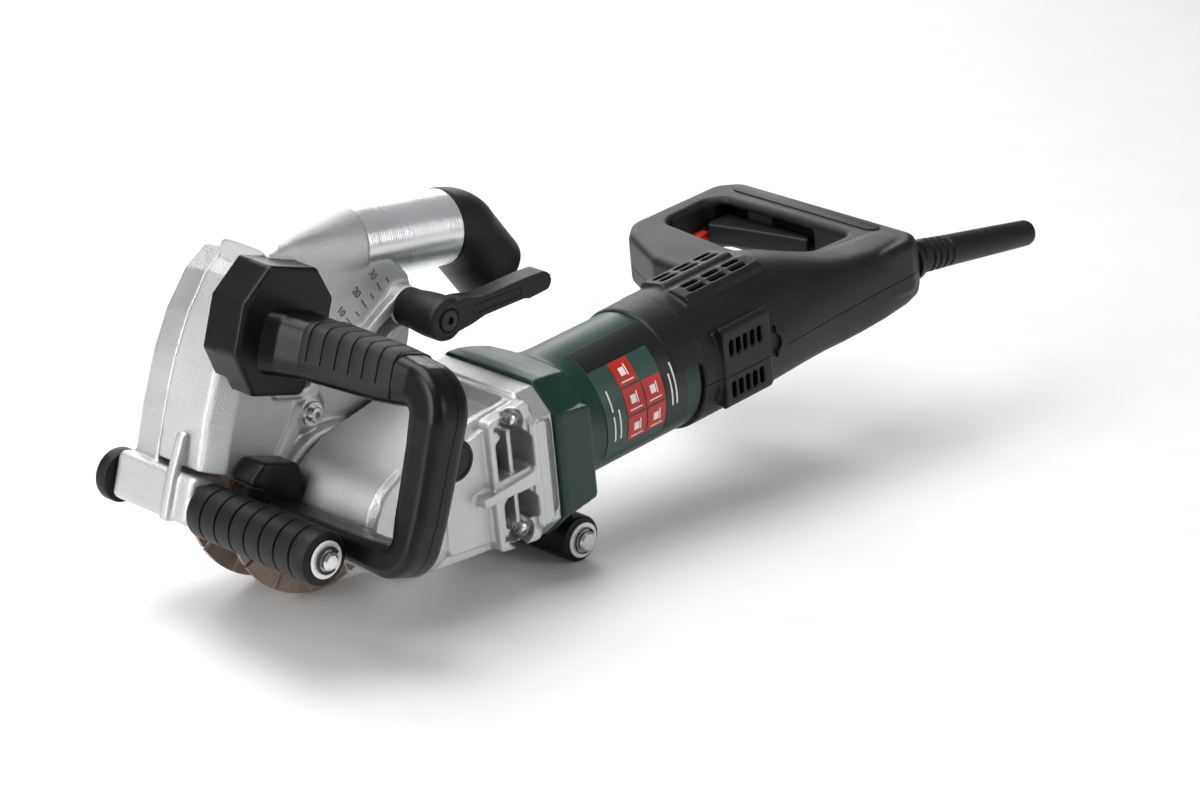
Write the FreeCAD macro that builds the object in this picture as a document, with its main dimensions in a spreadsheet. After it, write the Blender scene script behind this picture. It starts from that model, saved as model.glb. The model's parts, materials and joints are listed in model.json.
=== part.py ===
"""Wall chaser: a two-disc masonry slotter with a plunging roller frame.

Everything is in millimetres.  Two local frames carry the parts:
  TOOL   origin where the spindle axis meets the near disc, x along the motor axis (rearwards)
  GUARD  origin on the rear axle, x along the line of the rollers (rearwards)
In both, y is the spindle direction (+y is the far side) and z is up.
"""
import FreeCAD, Part
import math
import os
import Sketcher

V = FreeCAD.Vector
doc = FreeCAD.newDocument("wall_chaser")

# ---------------------------------------------------------------- driving dimensions
DIMENSIONS = {
    "disc_radius": 62.5, "disc_half": 0.9, "rim_half": 1.3, "rim_depth": 9.0, "disc_gap": 35.0,
    "arbor_radius": 11.1, "flange_radius": 21.0,
    "motor_pitch": 6.9, "guard_pitch": 15.0, "pivot_x": 128.7, "pivot_z": 13.5,
    "front_axle_x": -218.0, "front_axle_z": 1.5, "front_roller_radius": 15.0,
    "rear_roller_radius": 13.5, "axle_radius": 5.0, "pivot_radius": 6.0, "running_gap": 0.05,
    "wide_roller_width": 95.0, "rear_roller_width": 52.0,
    "motor_y": -47.0, "motor_radius": 39.0, "motor_wall": 3.5, "seam_x": 92.0, "motor_end_x": 217.0,
    "crown_teeth": 41.0, "pinion_teeth": 11.0, "crown_radius": 26.0,
    "plate_thickness": 4.0, "plate_y": -10.0, "chamber_split_y": 33.5, "far_wall_y": 60.0,
    "slot_radius": 160.6, "slot_start": 36.7, "slot_end": 47.3, "slot_half": 4.3,
    "bolt_radius": 4.0, "tube_radius": 21.5, "tube_wall": 2.2, "tube_length": 118.0,
    "bend_radius": 22.0, "bend_angle": 45.0, "tail_length": 33.0,
    "handle_thick": 19.0, "handle_reach": 143.0,
    "shift_x": -211.33, "shift_y": 32.0,
}
sheet = doc.addObject("Spreadsheet::Sheet", "Sizes")
for row, (alias, value) in enumerate(DIMENSIONS.items(), start=1):
    sheet.set("A%d" % row, alias)
    sheet.set("B%d" % row, str(value))
    sheet.setAlias("B%d" % row, alias)
doc.recompute()


class Size(float):
    """A number that remembers the sheet expression it is worked out from."""

    def __new__(cls, value, text):
        size = float.__new__(cls, value)
        size.text = text
        return size

    def __add__(self, other):
        return Size(float(self) + other, "(%s + %s)" % (self.text, words(other)))

    def __radd__(self, other):
        return Size(other + float(self), "(%s + %s)" % (words(other), self.text))

    def __sub__(self, other):
        return Size(float(self) - other, "(%s - %s)" % (self.text, words(other)))

    def __rsub__(self, other):
        return Size(other - float(self), "(%s - %s)" % (words(other), self.text))

    def __mul__(self, other):
        return Size(float(self) * other, "(%s * %s)" % (self.text, words(other)))

    def __rmul__(self, other):
        return Size(other * float(self), "(%s * %s)" % (words(other), self.text))

    def __neg__(self):
        return Size(-float(self), "(-%s)" % self.text)


def words(value):
    return value.text if isinstance(value, Size) else "(%r)" % float(value)


def bind(obj, name, value):
    """Set a property, and bind it to the sheet when the value comes from there."""
    setattr(obj, name, float(value))
    if isinstance(value, Size):
        obj.setExpression(name, value.text)


D = {alias: Size(sheet.get(alias), "Sizes." + alias) for alias in DIMENSIONS}

SHIFT = V(D["shift_x"], D["shift_y"], 0)
TOOL = FreeCAD.Placement(V(0, 0, D["disc_radius"]) + SHIFT, FreeCAD.Rotation(V(0, 1, 0), -D["motor_pitch"]))
GUARD_TURN = FreeCAD.Rotation(V(0, 1, 0), D["guard_pitch"])
GUARD = FreeCAD.Placement(V(D["pivot_x"], 0, D["pivot_z"]) + SHIFT, GUARD_TURN)
ALONG_Y = FreeCAD.Rotation()
ALONG_X = FreeCAD.Rotation(V(0, 0, 1), -90)
parts = []


def at(x, y, z, rotation=ALONG_Y):
    return FreeCAD.Placement(V(x, y, z), rotation)


# ---------------------------------------------------------------- building helpers
def node(obj, label, frame, local=FreeCAD.Placement()):
    """Name a finished sub-part and put it in its frame."""
    obj.Label = label
    obj.Placement = frame.multiply(local)
    parts.append(obj)
    return obj


def new_body(name):
    return doc.addObject("PartDesign::Body", name)


def sketch(body, role, offset=0.0):
    """An empty sketch on one of the body's own origin planes."""
    plane = [f for f in body.Origin.OriginFeatures if f.Role == role][0]
    sk = body.newObject("Sketcher::SketchObject", "Sketch")
    sk.AttachmentSupport = [(plane, "")]
    sk.MapMode = "FlatFace"
    sk.AttachmentOffset = FreeCAD.Placement(V(0, 0, offset), FreeCAD.Rotation())
    return sk


def outline(sk, points):
    """Closed outline of straight lines; corners that come from the sheet are constrained to it."""
    for a, b in zip(points, points[1:] + points[:1]):
        sk.addGeometry(Part.LineSegment(V(a[0], a[1], 0), V(b[0], b[1], 0)), False)
    if not any(isinstance(c, Size) for p in points for c in p):
        return
    for i, point in enumerate(points):
        sk.addConstraint(Sketcher.Constraint("Coincident", i - 1 if i else len(points) - 1, 2, i, 1))
        for kind, value in zip(("DistanceX", "DistanceY"), point):
            number = sk.addConstraint(Sketcher.Constraint(kind, -1, 1, i, 1, float(value)))
            if isinstance(value, Size):
                sk.setExpression("Constraints[%d]" % number, value.text)


def turned(name, profile):
    """Body of revolution about y; the profile is a closed list of (radius, y)."""
    body = new_body(name)
    sk = sketch(body, "XY_Plane")
    outline(sk, profile)
    rev = body.newObject("PartDesign::Revolution", "Turn")
    rev.Profile = sk
    rev.ReferenceAxis = (sk, ["V_Axis"])
    rev.Angle = 360
    doc.recompute()
    return body


def ring(name, inner, outer, y0, y1):
    """Plain ring or, with inner 0, a plain round bar, between y0 and y1."""
    return turned(name, [(inner, y0), (outer, y0), (outer, y1), (inner, y1)])


def prism(name, role, points, start, length):
    body = new_body(name)
    sk = sketch(body, role, start)
    outline(sk, points)
    pad = body.newObject("PartDesign::Pad", "Pad")
    pad.Profile = sk
    bind(pad, "Length", length)
    doc.recompute()
    return body


def plate(name, points, y0, y1):
    """Prism over an (x, z) outline, from y0 to y1."""
    return prism(name, "XZ_Plane", points, -y1, y1 - y0)


def slab(name, points, x0, x1):
    """Prism over a (y, z) outline, from x0 to x1."""
    return prism(name, "YZ_Plane", points, x0, x1 - x0)


def plan(name, points, z0, z1):
    """Prism over an (x, y) outline, from z0 to z1."""
    return prism(name, "XY_Plane", points, z0, z1 - z0)


def block(name, x, y, z):
    """Box between three (low, high) pairs."""
    b = doc.addObject("Part::Box", name)
    for side, pair in (("Length", x), ("Width", y), ("Height", z)):
        bind(b, side, pair[1] - pair[0])
    b.Placement = at(x[0], y[0], z[0])
    return b


def rod(name, radius, start, end):
    """Round bar between two points."""
    c = doc.addObject("Part::Cylinder", name)
    bind(c, "Radius", radius)
    line = V(*end) - V(*start)
    c.Height = line.Length
    c.Placement = FreeCAD.Placement(V(*start), FreeCAD.Rotation(V(0, 0, 1), line))
    return c


def fuse(name, *shapes):
    f = doc.addObject("Part::MultiFuse", name)
    f.Shapes = list(shapes)
    f.Refine = True
    return f


def cut(name, base, *tools):
    """The base less each tool in turn."""
    for tool in tools:
        c = doc.addObject("Part::Cut", name)
        c.Base = base
        c.Tool = tool
        base = c
    c.Refine = True
    return c


def group(name, shapes):
    """Several identical pieces kept as separate solids in one node."""
    c = doc.addObject("Part::Compound", name)
    c.Links = shapes
    return c


def rounded(name, base, radius, keep):
    """Fillet the edges of a solid that keep(edge) accepts."""
    doc.recompute()
    f = doc.addObject("Part::Fillet", name)
    f.Base = base
    f.Edges = [(i, radius, radius) for i, e in enumerate(base.Shape.Edges, 1) if keep(e)]
    return f


def octagon(cy, cz, half_y, half_z, corner):
    """Rectangle with cut corners, as (y, z) points."""
    signs = [(1, 0, 1), (0, 1, 1), (0, 1, -1), (1, 0, -1), (-1, 0, -1), (0, -1, -1), (0, -1, 1), (-1, 0, 1)]
    pts = []
    for a, b, s in signs:
        if a:
            pts.append((cy + a * (half_y - corner), cz + s * half_z))
        else:
            pts.append((cy + b * half_y, cz + s * (half_z - corner)))
    return pts


def along(edge, axis):
    """True for a straight edge parallel to an axis."""
    if not isinstance(edge.Curve, Part.Line):
        return False
    return abs(abs(edge.Curve.Direction.dot(V(*axis))) - 1) < 1e-6


MY = D["motor_y"]
DISC_IN_GUARD = GUARD.inverse().multVec(TOOL.multVec(V(0, 0, 0)))


def arc_point(radius, degrees):
    """Point on a circle about the rear axle, the angle measured up from the forward direction."""
    a = math.radians(degrees)
    return (-radius * math.cos(a), radius * math.sin(a))


# ---------------------------------------------------------------- discs and spindle
def disc(label, y):
    """Diamond disc: a core, and a thicker rim cut into segments."""
    hd, hr, r = D["disc_half"], D["rim_half"], D["disc_radius"]
    body = turned(label, [
        (D["arbor_radius"], -hd), (r - D["rim_depth"], -hd), (r - D["rim_depth"], -hr), (r, -hr),
        (r, hr), (r - D["rim_depth"], hr), (r - D["rim_depth"], hd), (D["arbor_radius"], hd)])
    sk = sketch(body, "XZ_Plane", -hr)
    outline(sk, [(r - 13, -1.2), (r + 2, -1.2), (r + 2, 1.2), (r - 13, 1.2)])
    gap = body.newObject("PartDesign::Pocket", "Gap")
    gap.Profile = sk
    gap.Type = 1
    gap.Midplane = True
    doc.recompute()
    polar = body.newObject("PartDesign::PolarPattern", "Gaps")
    polar.Originals = [gap]
    polar.Axis = ([f for f in body.Origin.OriginFeatures if f.Role == "Y_Axis"][0], [""])
    polar.Angle = 360
    polar.Occurrences = 14
    body.Tip = polar
    doc.recompute()
    node(body, label, TOOL, at(0, y, 0))


def bevel_teeth(count, root, tip, length, half_root, half_tip):
    """Straight bevel teeth about y with the apex at the origin, as one compound.

    root and tip are (radius, height) at the large end; the small end is the same scaled by length.
    """
    solids = []
    for k in range(count):
        quad = [V(root[0], root[1], -half_root), V(root[0], root[1], half_root),
                V(tip[0], tip[1], half_tip), V(tip[0], tip[1], -half_tip)]
        wires = []
        for scale in (1.0, length):
            pts = [p * scale for p in quad]
            wires.append(Part.makePolygon(pts + pts[:1]))
        tooth = Part.makeLoft(wires, True, True)
        tooth.rotate(V(0, 0, 0), V(0, 1, 0), k * 360.0 / count)
        solids.append(tooth)
    f = doc.addObject("Part::Feature", "Teeth")
    f.Shape = Part.makeCompound(solids)
    return f


def drive_train():
    half = D["disc_half"]
    gap = D["disc_gap"]
    arbor = D["arbor_radius"]
    disc("near_disc", 0)
    disc("far_disc", gap)
    spindle = turned("spindle", [
        (0, -80), (8, -80), (8, -66), (12, -66), (12, -42), (10, -42), (10, -14), (13, -14), (13, -7),
        (arbor, -7), (arbor, gap + half), (7, gap + half), (7, gap + 12), (0, gap + 12)])
    node(spindle, "spindle", TOOL)
    node(turned("inner_flange", [(arbor, -7), (16, -7), (D["flange_radius"], -4), (D["flange_radius"], -half),
                                 (arbor, -half)]), "inner_flange", TOOL)
    node(ring("disc_spacer", arbor, 19, half, gap - half), "disc_spacer", TOOL)
    nut = turned("Nut_blank", [(7, gap + half), (20, gap + half), (20, gap + 5), (15, gap + 9), (7, gap + 9)])
    holes = [rod("Pin_hole", 2.2, (x, gap + 4, 0), (x, gap + 10, 0)) for x in (-12, 12)]
    node(cut("nut", nut, *holes), "clamp_nut", TOOL)

    # Straight bevel pair with its apex where the motor axis crosses the spindle axis.
    r2 = D["crown_radius"]
    z2, z1 = int(D["crown_teeth"]), int(D["pinion_teeth"])
    r1 = r2 * z1 / z2
    pitch = 2 * math.pi * r2 / z2
    module = 2 * r2 / z2
    add, ded = 0.72 * module, 0.95 * module
    k_out, k_in = 1.04, 0.70
    blank = turned("Crown_blank", [
        (10, r1 * k_in + ded), (r2 * k_in, r1 * k_in + ded * k_in), (r2 * k_out, (r1 + ded) * k_out),
        (r2 * k_out, 14), (20, 17), (20, 21), (10, 21)])
    teeth = bevel_teeth(z2, (r2 * k_out, (r1 + ded + 0.25) * k_out), (r2 * k_out, (r1 - add) * k_out),
                        k_in / k_out, 0.26 * pitch, 0.10 * pitch)
    node(fuse("crown", blank, teeth), "crown_gear", TOOL, at(0, MY, 0))
    pblank = turned("Pinion_blank", [
        (3, r2 * k_in), ((r1 - ded) * k_in, r2 * k_in), ((r1 - ded) * k_out, r2 * k_out),
        ((r1 - ded) * k_out, r2 * k_out + 3), (3, r2 * k_out + 3)])
    pteeth = bevel_teeth(z1, ((r1 - ded - 0.4) * k_out, r2 * k_out), ((r1 + add) * k_out, r2 * k_out),
                         k_in / k_out, 0.25 * pitch, 0.10 * pitch)
    # With 11 teeth counted from -y, the side that faces the crown gear is a gap.
    node(fuse("pinion", pblank, pteeth), "pinion", TOOL, at(0, MY, 0, ALONG_X))
    shaft = turned("armature_shaft", [
        (0, 17), (3, 17), (3, 31), (7, 31), (7, 40), (7, 210), (5, 210), (5, 224), (0, 224)])
    node(shaft, "armature_shaft", TOOL, at(0, MY, 0, ALONG_X))
    node(ring("armature_core", 7, 22, 112, 176), "armature_core", TOOL, at(0, MY, 0, ALONG_X))
    node(ring("commutator", 7, 13, 187, 206), "commutator", TOOL, at(0, MY, 0, ALONG_X))
    hub = turned("Fan_hub", [(7, 57), (33, 57), (33, 58.5), (12, 58.5), (12, 72), (7, 72)])
    blades = []
    for k in range(12):
        blade = block("Blade", (11, 32.5), (58, 70), (-0.7, 0.7))
        turn = FreeCAD.Placement(V(0, 0, 0), FreeCAD.Rotation(V(0, 1, 0), 30 * k))
        blade.Placement = turn.multiply(blade.Placement)
        blades.append(blade)
    node(fuse("fan_wheel", hub, *blades), "cooling_fan", TOOL, at(0, MY, 0, ALONG_X))


def bearings():
    """Ball bearings as closed rings, fixed in the casings."""
    spindle_near = ring("spindle_bearing_small", 8.02, 16, -79, -68)
    node(spindle_near, "spindle_bearing_small", TOOL)
    node(ring("spindle_bearing_large", 10.02, 21, -26, -14.5), "spindle_bearing_large", TOOL)
    node(ring("armature_bearing_front", 7.02, 16, 39, 50), "armature_bearing_front", TOOL, at(0, MY, 0, ALONG_X))
    node(ring("armature_bearing_rear", 5.02, 11, 211, 220), "armature_bearing_rear", TOOL, at(0, MY, 0, ALONG_X))


# ---------------------------------------------------------------- gear case and motor
CASE_SCREWS = [(MY - 36, 34), (MY - 36, -32), (MY + 36, 34), (MY + 36, -32)]
CASE_SCREW_RADIUS = 2.5
CASE_SEAT_X = 72.0
LOCK_AT = (22, 31)


def gear_case():
    x1 = D["seam_x"]
    side = [(-24, 24), (-4, 34), (52, 43), (76, 45), (76, -42), (52, -38), (8, -33), (-24, -24)]
    core = plate("Case_core", side, -84, -14)
    nose = rod("Case_nose", 34, (0, -84, 0), (0, -14, 0))
    flange = slab("Case_flange", octagon(MY, 0, 48, 45.5, 14), 74, x1)
    web = plate("Case_web", [(50, 43), (80, 45), (80, -42), (50, -38)], -92, -10)
    axle = TOOL.inverse().multVec(GUARD.multVec(V(0, 0, 0)))
    px, pz = axle.x, axle.z
    lug = plate("Case_lug", [(58, -36), (91.5, -36), (91.5, -51), (108, -51.5), (px + 10, pz + 8),
                             (px + 10, pz - 10), (px - 10, pz - 10)], -21, -1)
    lug_eye = rod("Case_lug_eye", 12, (px, -21, pz), (px, -1, pz))
    outer = fuse("Case_outer", core, nose, flange, web, lug, lug_eye)
    hollow = rod("Case_hollow", 30, (0, -80, 0), (0, -26, 0))
    bore_small = rod("Case_bore_small", 16, (0, -85, 0), (0, -26, 0))
    bore_large = rod("Case_bore_large", 21, (0, -27, 0), (0, -13, 0))
    pinion_room = rod("Case_pinion_room", 14, (0, MY, 0), (40, MY, 0))
    bearing_bore = rod("Case_bearing_bore", 16, (39, MY, 0), (53, MY, 0))
    fan_room = rod("Case_fan_room", 34.5, (52, MY, 0), (x1 + 1, MY, 0))
    pivot = rod("Case_pivot_bore", D["pivot_radius"] + D["running_gap"], (px, -30, pz), (px, 5, pz))
    windows = []
    for z0, z1 in ((3, 28), (-24, -4)):
        for x0, xe in ((55, 64), (67, 76)):
            windows.append(block("Case_vent", (x0, xe), (-100, -66), (z0, z1)))
    top_vent = block("Case_top_vent", (58, 76), (-60, -34), (25, 60))
    screws = []
    for y, z in CASE_SCREWS:
        screws.append(rod("Case_screw_hole", CASE_SCREW_RADIUS, (CASE_SEAT_X - 1, y, z), (x1 + 1, y, z)))
        screws.append(rod("Case_screw_pocket", 5.4, (CASE_SEAT_X - 22, y, z), (CASE_SEAT_X, y, z)))
    lock_bore = rod("Case_lock_bore", 4.0, (LOCK_AT[0], -90, LOCK_AT[1]), (LOCK_AT[0], -74, LOCK_AT[1]))
    case = cut("case", outer, lock_bore, hollow, bore_small, bore_large, pinion_room, bearing_bore, fan_room, pivot,
               top_vent, *windows, *screws)
    node(case, "gear_housing", TOOL)
    node(turned("bearing_cover", [(14, -14), (31, -14), (31, -10.5), (26, -8), (14, -8)]), "bearing_cover", TOOL)
    node(turned("end_cap", [(0, -88), (12, -88), (16, -86), (16, -80), (0, -80)]), "spindle_end_cap", TOOL)


def motor():
    r, wall = D["motor_radius"], D["motor_wall"]
    x0, x1 = D["seam_x"], D["motor_end_x"]
    flange = slab("Motor_flange", octagon(MY, 0, 51, 49, 15), x0, x0 + 14)
    neck = turned("Motor_neck", [(0, x0 + 13), (48, x0 + 13), (41, x0 + 27), (r, x0 + 34), (0, x0 + 34)])
    neck.Placement = at(0, MY, 0, ALONG_X)
    barrel = rod("Motor_barrel", r, (x0 + 20, MY, 0), (x1, MY, 0))
    outer = fuse("Motor_outer", flange, neck, barrel)
    bore = rod("Motor_bore", r - wall, (x0 - 1, MY, 0), (x1 - 8, MY, 0))
    seat = rod("Motor_seat", 11, (x1 - 9, MY, 0), (x1 + 1, MY, 0))
    air = [rod("Motor_air", 6, (x1 - 10, MY + 22 * math.cos(a), 22 * math.sin(a)),
               (x1 + 1, MY + 22 * math.cos(a), 22 * math.sin(a)))
           for a in [math.radians(45 + 90 * k) for k in range(4)]]
    screws = [rod("Motor_screw_hole", CASE_SCREW_RADIUS, (x0 - 1, y, z), (x0 + 10, y, z)) for y, z in CASE_SCREWS]
    node(cut("motor_case", outer, bore, seat, *air, *screws), "motor_housing", TOOL)
    node(ring("stator", 23.2, r - wall, 110, 180), "stator", TOOL, at(0, MY, 0, ALONG_X))
    node(ring("air_baffle", 24, 34.4, 78, 81), "air_baffle", TOOL, at(0, MY, 0, ALONG_X))
    label = cut("Label_ring", rod("Label_outer", r + 0.6, (140, MY, 0), (205, MY, 0)),
                rod("Label_inner", r, (139, MY, 0), (206, MY, 0)),
                block("Label_rest", (130, 210), (MY - 10, MY + 45), (-45, 45)),
                block("Label_low", (130, 210), (MY - 45, MY + 45), (-45, -26)))
    node(label, "rating_label", TOOL)
    bolts = []
    for y, z in CASE_SCREWS:
        shank = rod("Case_bolt_shank", CASE_SCREW_RADIUS, (CASE_SEAT_X, y, z), (x0 + 10, y, z))
        head = rod("Case_bolt_head", 4.4, (CASE_SEAT_X - 4, y, z), (CASE_SEAT_X, y, z))
        bolts.append(fuse("Case_bolt", shank, head))
    node(group("case_bolts", bolts), "case_screws", TOOL)


def brushes():
    """Carbon brushes in brass holders, one above and one below the commutator."""
    carbons, holders = [], []
    for s in (1, -1):
        z = sorted((13.1 * s, 30 * s))
        carbons.append(block("Carbon", (192, 200), (MY - 3, MY + 3), z))
        z = sorted((16 * s, 34 * s))
        shell = block("Holder", (190.5, 201.5), (MY - 4.5, MY + 4.5), z)
        holders.append(cut("Holder_tube", shell, block("Holder_hole", (192, 200), (MY - 3, MY + 3),
                                                       sorted((15 * s, 30 * s)))))
    node(group("carbons", carbons), "carbon_brushes", TOOL)
    node(group("holders", holders), "brush_holders", TOOL)


# ---------------------------------------------------------------- rear casing and its loop handle
SPLIT = -2.0
LOCK_OFF_X = (366.0, 376.0)


def rear_mass(name, z0, z1):
    """The rear casing between two heights: barrel, spine and handle loop."""
    barrel = rod(name + "_barrel", 41, (D["motor_end_x"], MY, 0), (300, MY, 0))
    tail = doc.addObject("Part::Cone", name + "_tail")
    tail.Radius1, tail.Radius2, tail.Height = 41, 30, 70
    tail.Placement = FreeCAD.Placement(V(300 - 0.1, MY, 0), FreeCAD.Rotation(V(0, 0, 1), V(1, 0, 0)))
    spine = plan(name + "_spine", [(290, -84), (395, -84), (413, -74), (413, -47),
                                   (300, -44)], -30, 17)
    loop = plan(name + "_loop", [
        (286, -40), (286, 24), (314, 70), (326, 79), (402, 79), (415, 68),
        (415, -70), (391, -70), (391, 54), (382, 63), (348, 63), (340, 56),
        (334, -2), (340, -44), (334, -48)], -17, 17)
    whole = fuse(name + "_whole", barrel, tail, spine, loop)
    half = doc.addObject("Part::Common", name)
    half.Base = whole
    half.Tool = block(name + "_half", (200, 430), (-100, 100), (z0, z1))
    return half


def rear_casing():
    cavity = {
        "barrel": lambda n: rod(n, 37.5, (210, MY, 0), (300, MY, 0)),
        "spine": lambda n: block(n, (296, 409), (-80, -50), (-26, 13.5)),
        "front": lambda n: plan(n, [(296, -34), (296, 22), (320, 62), (322, 74), (336, 74), (337, 62), (330, -2),
                                    (334, -34)], -13.5, 13.5),
        "side": lambda n: block(n, (330, 402), (66.5, 75.5), (-13.5, 13.5)),
        "grip": lambda n: block(n, (395, 411), (-60, 70), (-13.5, 13.5)),
        "trigger": lambda n: block(n, (385, 397), (-13, 60), (-9, 12)),
        "cable": lambda n: rod(n, 12.1, (404, -66, -4), (420, -66, -4)),
    }
    halves = (("rear_cover_upper", SPLIT + 0.1, 60), ("rear_cover_lower", -60, SPLIT - 0.1))
    for label, z0, z1 in halves:
        tools = [make("Rear_" + key) for key, make in cavity.items()]
        tools.append(block("Lock_off_slot", (LOCK_OFF_X[0] - 0.3, LOCK_OFF_X[1] + 0.3), (60, 68), (-9.3, -0.7)))
        if label.endswith("upper"):
            for y in (-66, -46):
                for x in (236, 252, 268):
                    tools.append(block("Top_vent", (x, x + 12), (y, y + 12), (25, 50)))
            for z in (10, 16):
                tools.append(block("Side_vent", (238, 266), (-95, -78), (z, z + 3.5)))
        else:
            for z in (-11, -5.5):
                tools.append(block("Side_vent", (238, 266), (-95, -78), (z, z + 3.2)))
        node(cut(label + "_cut", rear_mass(label + "_mass", z0, z1), *tools), label, TOOL)
    node(block("grip_inlay_box", (401, 413.5), (-38, 62), (17.05, 18.4)), "grip_inlay", TOOL, at(401, -38, 17.05))
    node(block("switch_box", (401.5, 410.5), (-10, 50), (-12.5, 12.5)), "switch_block", TOOL, at(401.5, -10, -12.5))
    node(block("electronics_box", (305, 372), (-78, -52), (-22, 8)), "speed_electronics", TOOL, at(305, -78, -22))
    hinge = rod("Trigger_hinge", 4, (388.5, -8, -8), (388.5, -8, 11))
    paddle = plan("Trigger_paddle", [(388, -12), (384, 0), (374, 30), (369, 54), (374, 58.5), (394, 58.5),
                                     (394, -8), (392, -12)], -8, 11)
    node(fuse("trigger_solid", hinge, paddle), "trigger", TOOL)
    button = block("Lock_off_solid", (LOCK_OFF_X[0], LOCK_OFF_X[1]), (59.3, 70), (-9, -1))
    button = rounded("Lock_off_round", button, 1.5, lambda e: along(e, (0, 1, 0)))
    node(button, "lock_off_button", TOOL)
    skin = cut("Latch_skin", rod("Latch_outer", 42.8, (271, MY, 0), (283, MY, 0)),
               rod("Latch_inner", 41.02, (270, MY, 0), (284, MY, 0)))
    latch = doc.addObject("Part::Common", "Latch")
    latch.Base = skin
    latch.Tool = block("Latch_reach", (270, 284), (-100, -70), (-9, 13))
    node(latch, "brush_cover", TOOL)


def cable_entry():
    start, end = V(417, -66, -4), V(518, -73, -22)
    line = (end - start)
    turn = FreeCAD.Rotation(V(0, 0, 1), line)
    node(turned("collar", [(6, 404), (12, 404), (12, 415.2), (14, 415.2), (14, 419.5), (11, 422), (6, 422)]),
         "cable_collar", TOOL, at(0, -66, -4, ALONG_X))
    boot = doc.addObject("Part::Cone", "Boot_cone")
    boot.Radius1, boot.Radius2, boot.Height = 10.5, 7.5, line.Length - 6
    bore = doc.addObject("Part::Cylinder", "Boot_bore")
    bore.Radius, bore.Height = 4.8, 40
    bore.Placement = at(0, 0, line.Length - 45)
    place = FreeCAD.Placement(start + line * (7.6 / line.Length), turn)
    stem = rod("Boot_stem", 5.95, (405, -66, -4), (430, -66, -4))
    stem.Placement = place.inverse().multiply(stem.Placement)
    node(cut("boot_solid", fuse("Boot_whole", boot, stem), bore), "cable_boot", TOOL, place)


# ---------------------------------------------------------------- guard, fixed to the gear case
BASE_SCREWS = [(-206, 112), (-206, 84), (-172, 84), (-172, 104)]
FOOT_SCREWS = [(-199, 26.5), (-183, 26.5)]
HANDLE_SCREW_RADIUS = 2.1
NEAR_OUTLINE = [(-226, 21), (-226, 80), (-215, 128), (-204, 144), (-118, 144), (-104, 136), (-97, 122), (-92, 60),
                (-92, -5), (-176, -5), (-190, 21)]


def slot_shape(name, half, y0, y1):
    """Curved slot about the rear axle, as a solid between y0 and y1."""
    radius = D["slot_radius"]
    a0 = D["slot_start"]
    a1 = D["slot_end"]
    steps = 8
    angles = [a0 + (a1 - a0) * k / steps for k in range(steps + 1)]
    pts = [arc_point(radius + half, a) for a in angles] + [arc_point(radius - half, a) for a in reversed(angles)]
    mid = plate(name + "_mid", pts, y0, y1)
    ends = []
    for a in (a0, a1):
        x, z = arc_point(radius, a)
        ends.append(rod(name + "_end", half, (x, y0, z), (x, y1, z)))
    return fuse(name, mid, *ends)


TUBE_START = V(-184, 11.8, 136.7)
TUBE_LINE = V(math.cos(math.radians(10)), 0, math.sin(math.radians(10)))


def tube_at(distance):
    """Point on the dust tube's axis, measured from its inner end."""
    return tuple(TUBE_START + TUBE_LINE * distance)


def guard_parts():
    y0 = D["plate_y"]
    y1 = y0 + D["plate_thickness"]
    split = D["chamber_split_y"]
    dx, dz = DISC_IN_GUARD.x, DISC_IN_GUARD.z
    side = plate("Guard_side", NEAR_OUTLINE, y0, y1)
    front = plate("Guard_front", [(-226, 21), (-226, 80), (-215, 128), (-204, 144), (-118, 144), (-118, 140),
                                  (-202, 140), (-211, 127), (-222, 80), (-222, 21)], y0, split)
    collar = slot_shape("Guard_collar", 9, y0 - 4, y0 + 1)
    socket = cut("Guard_socket", rod("Guard_socket_round", D["tube_radius"] + 1.5, tube_at(-4), tube_at(27)),
                 block("Socket_near_flat", (-220, -130), (-30, y0), (90, 190)),
                 block("Socket_far_flat", (-220, -130), (split, 60), (90, 190)))
    seat = rod("Guard_seat", 36, (dx, y0 - 4, dz), (dx, y0 + 1, dz))
    hole = rod("Guard_hole", 31.3, (dx, y0 - 5, dz), (dx, y1 + 2, dz))
    slot = slot_shape("Guard_slot", D["slot_half"], y0 - 6, y1 + 2)
    bore = rod("Guard_socket_bore", D["tube_radius"], tube_at(0), tube_at(40))
    inlet = rod("Guard_inlet", 15, tube_at(-12), tube_at(5))
    boss = rod("Guard_boss", 8, (-163, y0 - 4, 57), (-163, y0, 57))
    screw = rod("Guard_screw_hole", 3, (-163, y0 - 6, 57), (-163, y1 + 2, 57))
    under = block("Guard_under", (-200, -140), (y1, split - 0.5), (60, 139.5))
    passage = rod("Guard_tube_passage", D["tube_radius"] + 0.3, tube_at(26.9), tube_at(130))
    screws = [rod("Guard_inner_screw_hole", HANDLE_SCREW_RADIUS, (x, y0 - 1, z), (x, y1 + 1, z))
              for x, z in BASE_SCREWS + FOOT_SCREWS]
    shell = cut("guard", fuse("Guard_outer", side, front, collar, socket, boss, seat), hole, slot, bore, inlet,
                screw, under, passage, *screws)
    node(shell, "guard_housing", GUARD)
    tube = turned("dust_tube", [(D["tube_radius"] - D["tube_wall"], 0), (D["tube_radius"], 0),
                                (D["tube_radius"], D["tube_length"]),
                                (D["tube_radius"] - D["tube_wall"], D["tube_length"])])
    tube_turn = FreeCAD.Rotation(V(0, 1, 0), TUBE_LINE)
    node(tube, "dust_tube", GUARD, FreeCAD.Placement(TUBE_START, tube_turn))


# ---------------------------------------------------------------- side handle, bolted to the guard
HANDLE_X = (-198.0, -174.0)
HANDLE_Z = (-2.0, 113.0)


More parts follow.
